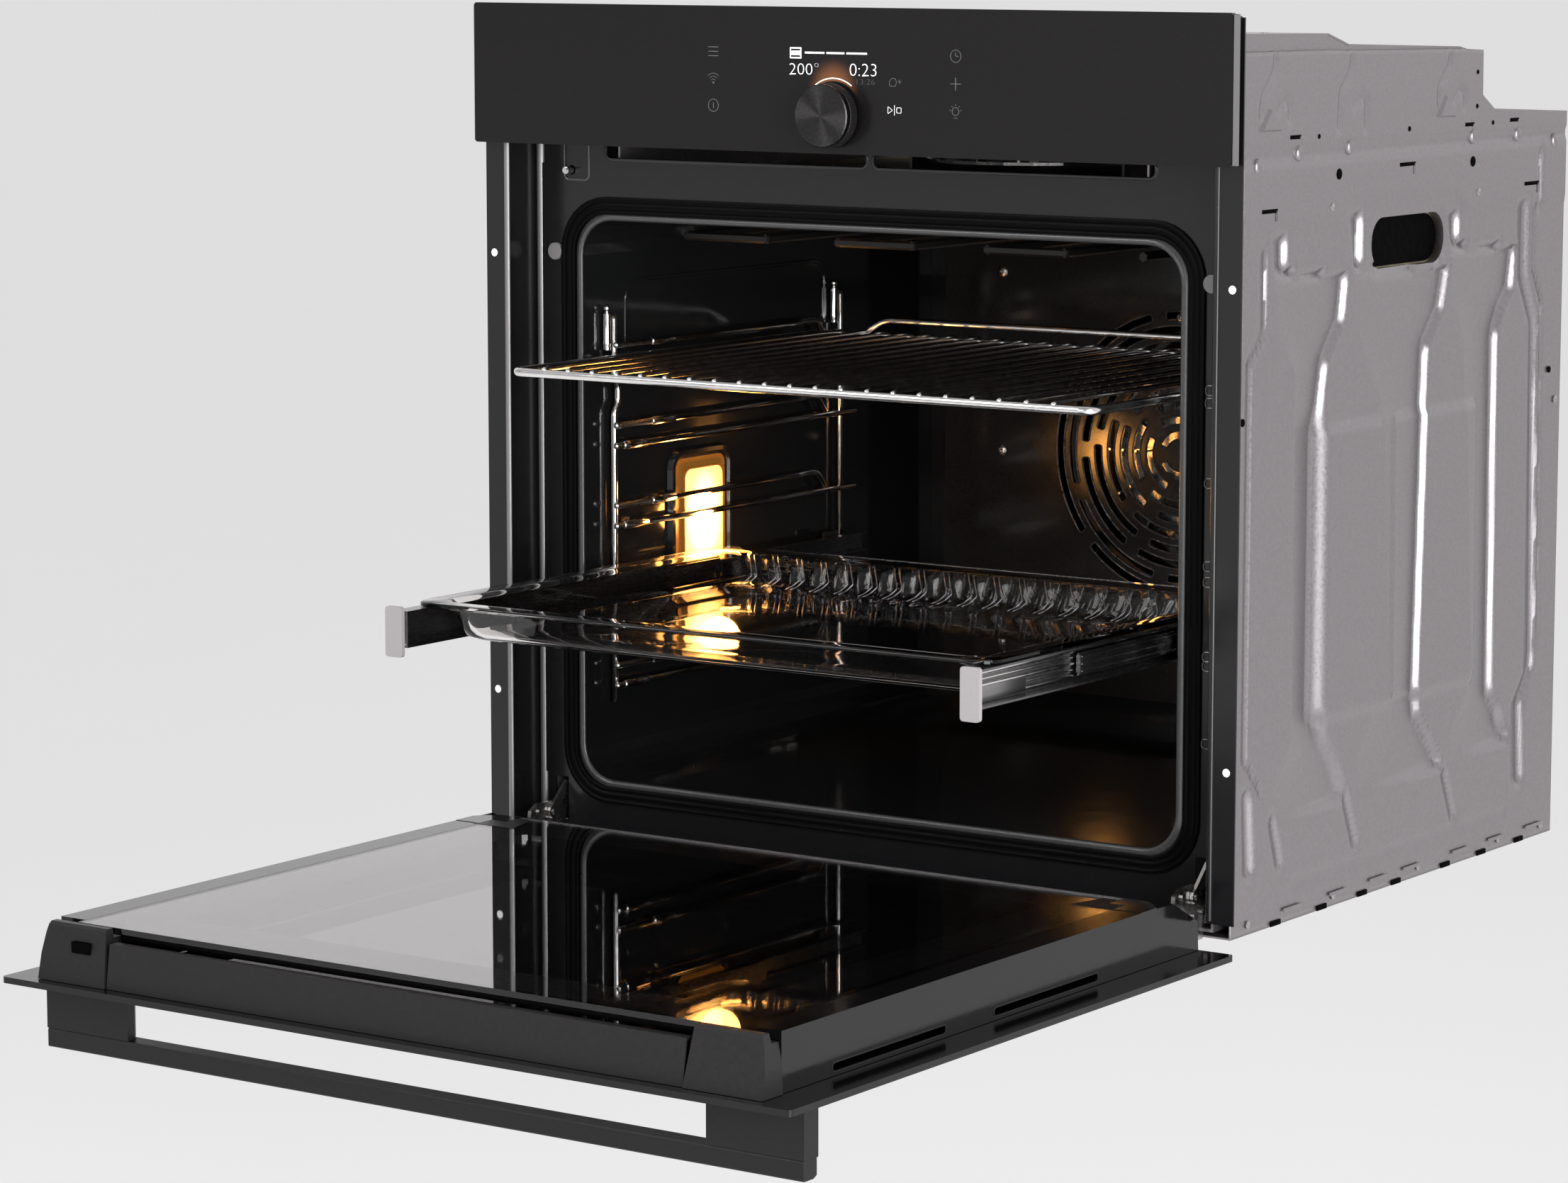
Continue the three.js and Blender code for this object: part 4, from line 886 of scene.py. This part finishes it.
# ---------------------------------------------------------------- frame, gasket and cavity details
def gasket():
    """A silicone seal with three soft lips, sweeping round the mouth of the cavity."""
    lips = [(0, 42.6), (0.2, 41.2), (1.2, 40.7), (2.6, 40.8), (3.4, 41.5), (4.4, 40.8), (6.2, 40.6),
            (7.8, 40.9), (8.6, 41.5), (9.6, 40.9), (11, 40.8), (12.0, 41.3), (12.2, 42.6)]
    seal = frame_sweep("gasket_lips", (-242.9, 54.1, 242.9, 451.1), 26, lips, "rubber")
    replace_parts(seal, "door_gasket")


gasket()
frame_sweep("mouth_lip", (-237.6, 58.4, 237.6, 447.6), 25,
            [(0, 44), (0, 42.4), (0.8, 41.5), (1.8, 41.2), (2.8, 41.5), (3.6, 42.2), (5.0, 42.95)],
            "lip", slot="enamel")
for s in (1, -1):
    tag = side_tag(s)
    disc("door_bumper" + tag, (s * 260, 42.9, 424.6), 5.0, -2.3, 1, "bumper", edge=-0.8)
    # The left beads wear the bright copy of the frame enamel, a painted highlight; the right ones keep the
    # plain frame enamel.
    bend = "frame" if s > 0 else "bead"
    bead = [(s * (273.6 + 2.9 * math.cos(t)), 43 - 2.4 * math.sin(t)) for t in half_turn(10)]
    edge = [(s * (279.6 + 2.2 * math.cos(t)), 13 - 1.7 * math.sin(t)) for t in half_turn(8)]
    loft("flange_bead" + tag, [[(x, y, z) for x, y in edge] for z in (24, 590)], bend, smooth=60)
    loft("column_bead" + tag, [[(x, y, z) for x, y in bead] for z in (24, 589)], bend, smooth=60)
    for i, z in enumerate((424, 120)):
        # Glowing white discs: painted light in the flange's holes.
        disc(f"flange_hole_{i}{tag}", (s * 291, 14.6, z), 3.4, -1.5, 1, "hole_light", edge=-0.2)
    span = (3.4, 216.6) if s > 0 else (-216.6, -3.4)
    frame_sweep("vent_rim" + tag, (span[0], 489.9, span[1], 499.1), 3.8,
                [(0, 44), (0, 43.1), (0.4, 42.5), (1.6, 42.5), (2.2, 42.95), (2.2, 43.2)], "frame")

COLUMN_CLIPS = (357, 349, 298, 245, 235, 187, 181, 131)


def column_clips(side):
    """Small pressed loops beside the seam where the frame's face meets its side column."""
    tag = side_tag(side)
    u0, u1 = sorted((side * 256.2, side * 262.4))
    bead = [(0, 43.1), (0, 42.4), (0.5, 42.2), (1, 42.4), (1.1, 43.1)]
    rims = [frame_sweep(f"column_clip_{i}{tag}", (u0, z - 2.6, u1, z + 2.6), 2, bead, "lip", steps=4)
            for i, z in enumerate(COLUMN_CLIPS)]
    joined("column_clips" + tag, rims)
    seam = sorted((side * 262.9, side * 263.5))
    # A black strip in the seam: painted shade between the frame's face and its column.
    slab("column_seam" + tag, seam, (42.6, 42.97), (54, 488), "black", slot="frame", edge=0.1)


column_clips(1)
for s in (1, -1):
    frame_sweep("wall_panel_rim" + side_tag(s), (96.5, 348, 338, 400), 14,
                [(0, -s * 240.3), (1, -s * 239.1), (2.6, -s * 239.1), (3.6, -s * 240.3)], "enamel",
                plane="yz")
frame_sweep("switch_pocket", (-251.8, 474.6, -232.2, 505), 3.2,
            [(0, 42.9), (0, 42.1), (0.6, 41.9), (1.2, 42.2), (1.5, 42.9)], "lip")
frame_sweep("lamp_bezel", (150, 184, 212, 272), 8,
            [(0, -239.7), (0.3, -237.4), (2, -236), (5, -236.2), (7, -239.7)], "enamel", plane="yz")
glass = [(1.6, -235.6), (0, -235.2), (-2.5, -234.6)]
loft("lamp_core_glass", [[(x, a, b) for a, b in outline_rounded(160 - g, 192 - g, 203 + g, 262 + g, 7)]
                         for g, x in glass], "lamp_core", smooth=60)
FAN_Z = 262.0
FAN_RINGS = [(15, 2), (26, 3), (37, 4), (48, 4), (59, 5), (70, 5), (81, 6), (92, 6), (102.5, 6)]
SLOT_HALF = 2.7
SLOT_BRIDGE = 12.0
RING_TWIST = 0.35


def fan_slot_reflection_rims():
    """A rolled edge round every curved slot of the fan cover, lighter than the cover: a painted reflection on
    the slots' rounded edges.
    """
    rims = []
    for k, (radius, count) in enumerate(FAN_RINGS):
        turn = 2 * math.pi / count
        for i in range(count):
            start = i * turn + k * RING_TWIST + SLOT_BRIDGE / 2 / radius
            end = start + turn - SLOT_BRIDGE / radius
            a0, a1 = math.degrees(start), math.degrees(end)
            half = SLOT_HALF + 0.35
            steps = max(6, int((a1 - a0) * radius / 260))
            loop = arc(0, FAN_Z, radius + half, a0, a1, steps)
            loop += arc(0, FAN_Z, radius - half, a1, a0, steps)
            rims.append(wire(f"slot_rim_{len(rims)}", [(x, 449.9, z) for x, z in loop], 0.62, "rim",
                             bend=2.2, closed=True, sides=6))
    joined("fan_slot_reflection_rims", rims)


for i, (x, z) in enumerate([(-154, 390), (-154, 256), (0, 363), (154, 390), (154, 256), (0, 130)]):
    screw(f"fan_cover_screw_{i}", (x, 450, z), 1, -1, "steel", 4.2, 1.6)


fan_slot_reflection_rims()


# ---------------------------------------------------------------- door details
def door_details():
    frame_sweep("window_print", (-206, -410, 206, -68), 6, [(0, 36.2), (0, 36.34), (38, 36.34), (38, 36.2)],
                "print", "door", plane="xy")
    # A near-black strip across the gap under the inner glass's front edge: painted shadow in that gap.
    slab("door_gap_shadow", (-218, 218), (-452.5, -440.5), (31.8, 36.1), "rubber", "door", edge=0.5)
    slab("middle_pane_back", (-249, 249), (-439, -37), (17.2, 17.9), "print", "door", edge=0.1)
    for s in (1, -1):
        tag = side_tag(s)
        for i, (a, b) in enumerate(((-398, -280), (-228, -109))):
            bead = [(0, s * 272.2), (0.1, s * 272.6), (0.9, s * 272.6), (1.1, s * 272.2)]
            frame_sweep(f"door_vent_rim_{i}{tag}", (a + 0.6, 7, b - 0.6, 11.4), 2, bead, "plastic", "door",
                        plane="yz")
        pad = mirror_points([(221, -60, 0), (256, -60, 0), (256, -31, 0), (229, -31, 0)], s)
        rings = [[(x, y, z) for x, y, _ in pad] for z in (39.9, 40.2)]
        loft("corner_pad" + tag, rings, "plastic", "door")
    # A black slab in the end cap's window: painted shade inside the opening.
    slab("cap_window", (-247.6, -232.6), (-466.2, -462.5), (23, 30.3), "black", "door", "plastic", edge=0.8)


# ---------------------------------------------------------------- control panel symbols
def stroke(name, points, width, look, closed=False, bend=0.4):
    """A printed line on the panel glass, given in X and Z."""
    path = [(x, -0.02, z) for x, z in points]
    return wire(name, path, width / 2, look, bend=bend, closed=closed, sides=8)


def digits(name, text, x0, x1, z0, z1, look):
    """Figures on the display, fitted between the given limits."""
    curve = bpy.data.curves.new(name, "FONT")
    curve.body = text
    curve.extrude = 0.02
    curve.offset = -0.022
    curve.resolution_u = 4
    source = placed(name + "_source", curve)
    bpy.context.view_layer.update()
    made = bpy.data.meshes.new_from_object(source.evaluated_get(bpy.context.evaluated_depsgraph_get()))
    bpy.data.objects.remove(source)
    co = np.array([v.co for v in made.vertices])
    low, high = co.min(0), co.max(0)
    for v in made.vertices:
        x = x0 + (v.co.x - low[0]) / (high[0] - low[0]) * (x1 - x0)
        z = z0 + (v.co.y - low[1]) / (high[1] - low[1]) * (z1 - z0)
        y = -0.12 if v.co.z > 0 else 0.02
        v.co = at(x, y, z)
    edit(made, face_outwards)
    made.name = name
    return finished(name, made, look)


def symbols():
    digits("set_temperature", "200°", -34.6, -11.8, 551.1, 558.8, "white")
    digits("time_left", "0:23", 12.9, 33.6, 551, 559, "white")
    digits("end_time", "13:26", 18.4, 32.4, 545.6, 549.2, "dim")
    left = -95.8
    for i, z in enumerate((568, 565.1, 562.2)):
        stroke(f"menu_bar_{i}", [(left - 4, z), (left + 4, z)], 0.5, "mid")
    for i, r in enumerate((2.2, 4.2, 6.2)):
        stroke(f"signal_arc_{i}", arc(left, 544.6, r, 45, 135), 0.34, "mid")
    slab("signal_dot", (left - 0.6, left + 0.6), (-0.15, 0.02), (544, 545.2), "mid", edge=0.05)
    stroke("power_ring", arc(left, 529.7, 4.1, 0, 345), 0.42, "mid", closed=True)
    stroke("power_bar", [(left, 527.9), (left, 531.5)], 0.42, "mid")
    right = 94.4
    stroke("clock_ring", arc(right, 565.1, 4, 0, 345), 0.38, "mid", closed=True)
    stroke("clock_hands", [(right, 567.4), (right, 565.1), (right + 2, 565.1)], 0.38, "mid")
    stroke("plus_up", [(right, 543.5), (right, 551.5)], 0.5, "mid")
    stroke("plus_across", [(right - 4, 547.5), (right + 4, 547.5)], 0.5, "mid")
    stroke("lamp_ring", arc(right, 530, 2.6, 0, 345), 0.38, "mid", closed=True)
    for i, turn in enumerate((10, 50, 90, 130, 170)):
        near, far = arc(right, 530, 3.6, turn, turn, 1)[0], arc(right, 530, 4.6, turn, turn, 1)[0]
        stroke(f"lamp_ray_{i}", [near, far], 0.38, "mid")
    stroke("lamp_foot", [(right - 1.4, 525.8), (right + 1.4, 525.8)], 0.38, "mid")
    x = 46.6
    slab("play_stop_bar", (x + 0.95, x + 1.25), (-0.15, 0.02), (526.4, 533), "white", edge=0.05)
    stroke("play_triangle", [(x - 4, 532), (x - 4, 527.4), (x - 0.4, 529.7)], 0.3, "white", closed=True)
    stroke("stop_square", [(x + 2.8, 528), (x + 6.2, 528), (x + 6.2, 531.4), (x + 2.8, 531.4)], 0.3,
           "white", closed=True)
    stroke("steam_outline", [(44, 545), (43.6, 548), (45.4, 550), (48, 550.2), (49.2, 548), (48.4, 545.2)],
           0.34, "mid", closed=True)
    stroke("steam_plus_up", [(51.6, 546.6), (51.6, 549.4)], 0.34, "mid")
    stroke("steam_plus_across", [(50.2, 548), (53, 548)], 0.34, "mid")
    mode_x, mode_z = -29.7, 565.2
    plate_x, plate_z = (mode_x - 4.5, mode_x + 4.5), (mode_z - 3.6, mode_z + 3.6)
    slab("mode_plate", plate_x, (-0.12, 0.02), plate_z, "white", edge=0.05)
    bar_x = (mode_x - 3.7, mode_x + 3.7)
    for i, z in enumerate((mode_z - 2.1, mode_z + 2.1)):
        slab(f"mode_bar_{i}", bar_x, (-0.24, -0.1), (z - 0.62, z + 0.62), "panel", edge=0.04)
    for i, (a, b) in enumerate(((-22.4, -7), (-5.4, 8.6), (10.2, 26.3))):
        slab(f"mode_name_bar_{i}", (a, b), (-0.12, 0.02), (564.9, 566.1), "white", edge=0.05)
    stroke("dial_arc", arc(0, KNOB_Z, 24, 54, 126, 24), 0.66, "led", bend=0.01)
    halo_patch()


KNOB_Z = 525.3
GRIP_RIDGES = 96


def knob_grip():
    """The finely ridged band round the back of the knob."""
    rings = []
    for y, radius, ridge in ((-10.4, 20.1, 0), (-10.4, 20.6, 0), (-10.1, 20.68, 0.36), (-3.2, 20.68, 0.36),
                             (-2.9, 20.6, 0), (-2.9, 20.1, 0)):
        ring = []
        for k in range(2 * GRIP_RIDGES):
            t = math.pi * k / GRIP_RIDGES
            r = radius + ridge * (k % 2)
            ring.append((r * math.cos(t), y, KNOB_Z + r * math.sin(t)))
        rings.append(ring)
    loft("knob_grip", rings, "plastic", "knob_cap", "anodised", closed_path=True, smooth=20)


def halo_patch():
    """A thin sheet on the glass that carries the dial's glow."""
    inner = arc(0, KNOB_Z, 22.2, 25, 155, 36)
    outer = arc(0, KNOB_Z, 48, 25, 155, 36)
    rings = [[(a, 0.004, b), (c, 0.004, d), (c, -0.016, d), (a, -0.016, b)]
             for (a, b), (c, d) in zip(inner, outer)]
    patch = loft("dial_glow", rings, "panel")
    patch.data.materials.clear()
    patch.data.materials.append(led_halo().mat)


# ---------------------------------------------------------------- back and top
BACK_Y = 503.8
COVER_Y = 545 - 1.2  # the motor cover's face, with the screws sunk into it a little


def back_details():
    """Pressed frames, screws and the motor cover's fixings on the rear panel; screws on the top."""
    bead = [(0, BACK_Y - 0.3), (2, BACK_Y + 1.1), (5, BACK_Y + 1.1), (7, BACK_Y - 0.3)]
    for name, rect in (("upper_left", (-255, 330, -90, 450)), ("upper_right", (90, 330, 255, 450)),
                       ("lower_left", (-255, 40, -90, 180)), ("lower_right", (90, 40, 255, 180))):
        frame_sweep("back_press_" + name, rect, 16, bead, "zinc")
    spots = [(x, BACK_Y, z) for x in (-268, 268) for z in (40, 160, 262, 364, 490)]
    spots += [(x, BACK_Y, z) for x in (-180, -60, 60, 180) for z in (18, 508)]
    spots += [(x, COVER_Y, FAN_Z + z) for x in (-66, 66) for z in (-66, 66)]
    joined("back_screws", [screw(f"back_screw_{i}", spot, 1, 1, "steel", 3.4, 1.1)
                           for i, spot in enumerate(spots)])
    spots = [(x, 100, 579.9) for x in (-262, 262)] + [(x, 420, 519.2) for x in (-262, 262, -90, 90)]
    joined("top_screws", [screw(f"top_screw_{i}", spot, 2, 1, "steel", 3.2, 0.9)
                          for i, spot in enumerate(spots)])


back_details()
door_details()
symbols()
knob_grip()

# ---------------------------------------------------------------- stage, camera and light
# Places here are in the frame's own metres, apart from the two lamps that stand inside the cavity.
FLOOR_Z = -0.62
FLOOR_HALF = 90
CAMERA_PLACE = (1.7886, -2.89065, 0.6537)
CAMERA_TILT, CAMERA_TURN = 82.0, 34.94
CAMERA_LENS, SENSOR_WIDTH, FAR_CLIP = 111.7, 36, 500
SKY_COLOR = (1.0, 0.985, 0.99, 1)
SKY_RANGE = {"From Min": -0.35, "From Max": 0.55, "To Min": 0.36, "To Max": 0.95}
AREA_LIGHTS = [  # name, place, aimed at, width and height, watts
    ("key", (-1.4, -2.6, 1.9), (0, 0, 0.3), (1.2, 1.2), 28),
    ("slopes", (2.75, -1.95, 0.55), (0.28, 0.1, 0.3), (1.7, 2.2), 105),
    ("cavity_fill", (0.1, -2.4, 0.75), (0, 0.2, 0.2), (0.9, 0.5), 8),
]
ORANGE = (1.0, 0.42, 0.09)
POINT_LIGHTS = [  # name, place, watts, radius
    ("oven_lamp", at(-222, 181, 228), 0.42, 0.015),
    ("fan_light", at(-40, 470, 262), 0.03, 0.012),
]


def floor_sheet():
    work = bmesh.new()
    bmesh.ops.create_grid(work, x_segments=8, y_segments=8, size=FLOOR_HALF)
    mesh = bpy.data.meshes.new("floor")
    work.to_mesh(mesh)
    work.free()
    floor = placed("floor", mesh)
    floor.location.z = FLOOR_Z
    pale = Look("pale_floor", (0.75, 0.75, 0.75), 0.9).glow((1, 1, 1), 0.25).roughen(3, 0.85, 0.95)
    mesh.materials.append(pale.mat)


def photo_camera():
    camera = bpy.data.cameras.new("camera")
    camera.sensor_width = SENSOR_WIDTH
    camera.lens = CAMERA_LENS
    camera.clip_end = FAR_CLIP
    holder = placed("camera", camera)
    holder.location = CAMERA_PLACE
    holder.rotation_euler = (math.radians(CAMERA_TILT), 0, math.radians(CAMERA_TURN))
    bpy.context.scene.camera = holder


def studio_world():
    """Soft light all round, stronger from the back than from the front."""
    world = bpy.data.worlds.new("studio")
    world.use_nodes = True
    tree = world.node_tree
    sky = tree.nodes["Background"]
    coords = tree.nodes.new("ShaderNodeTexCoord")
    split = tree.nodes.new("ShaderNodeSeparateXYZ")
    ramp = tree.nodes.new("ShaderNodeMapRange")
    for socket, value in SKY_RANGE.items():
        ramp.inputs[socket].default_value = value
    tree.links.new(coords.outputs["Generated"], split.inputs["Vector"])
    tree.links.new(split.outputs["Y"], ramp.inputs["Value"])
    tree.links.new(ramp.outputs["Result"], sky.inputs["Strength"])
    sky.inputs["Color"].default_value = SKY_COLOR
    bpy.context.scene.world = world
    view = bpy.context.scene.view_settings
    view.view_transform = "Standard"
    view.look = "None"


def light(name, kind, place, watts, color=(1, 1, 1)):
    lamp = bpy.data.lights.new(name, kind)
    lamp.energy = watts
    lamp.color = color
    holder = placed(name, lamp)
    holder.location = place
    return lamp, holder


floor_sheet()
photo_camera()
studio_world()
for light_name, spot, target, size, watts in AREA_LIGHTS:
    lamp, holder = light(light_name, "AREA", spot, watts)
    lamp.shape = "RECTANGLE"
    lamp.size, lamp.size_y = size
    holder.rotation_euler = (Vector(target) - Vector(spot)).to_track_quat("-Z", "Y").to_euler()
for light_name, spot, watts, radius in POINT_LIGHTS:
    light(light_name, "POINT", spot, watts, ORANGE)[0].shadow_soft_size = radius
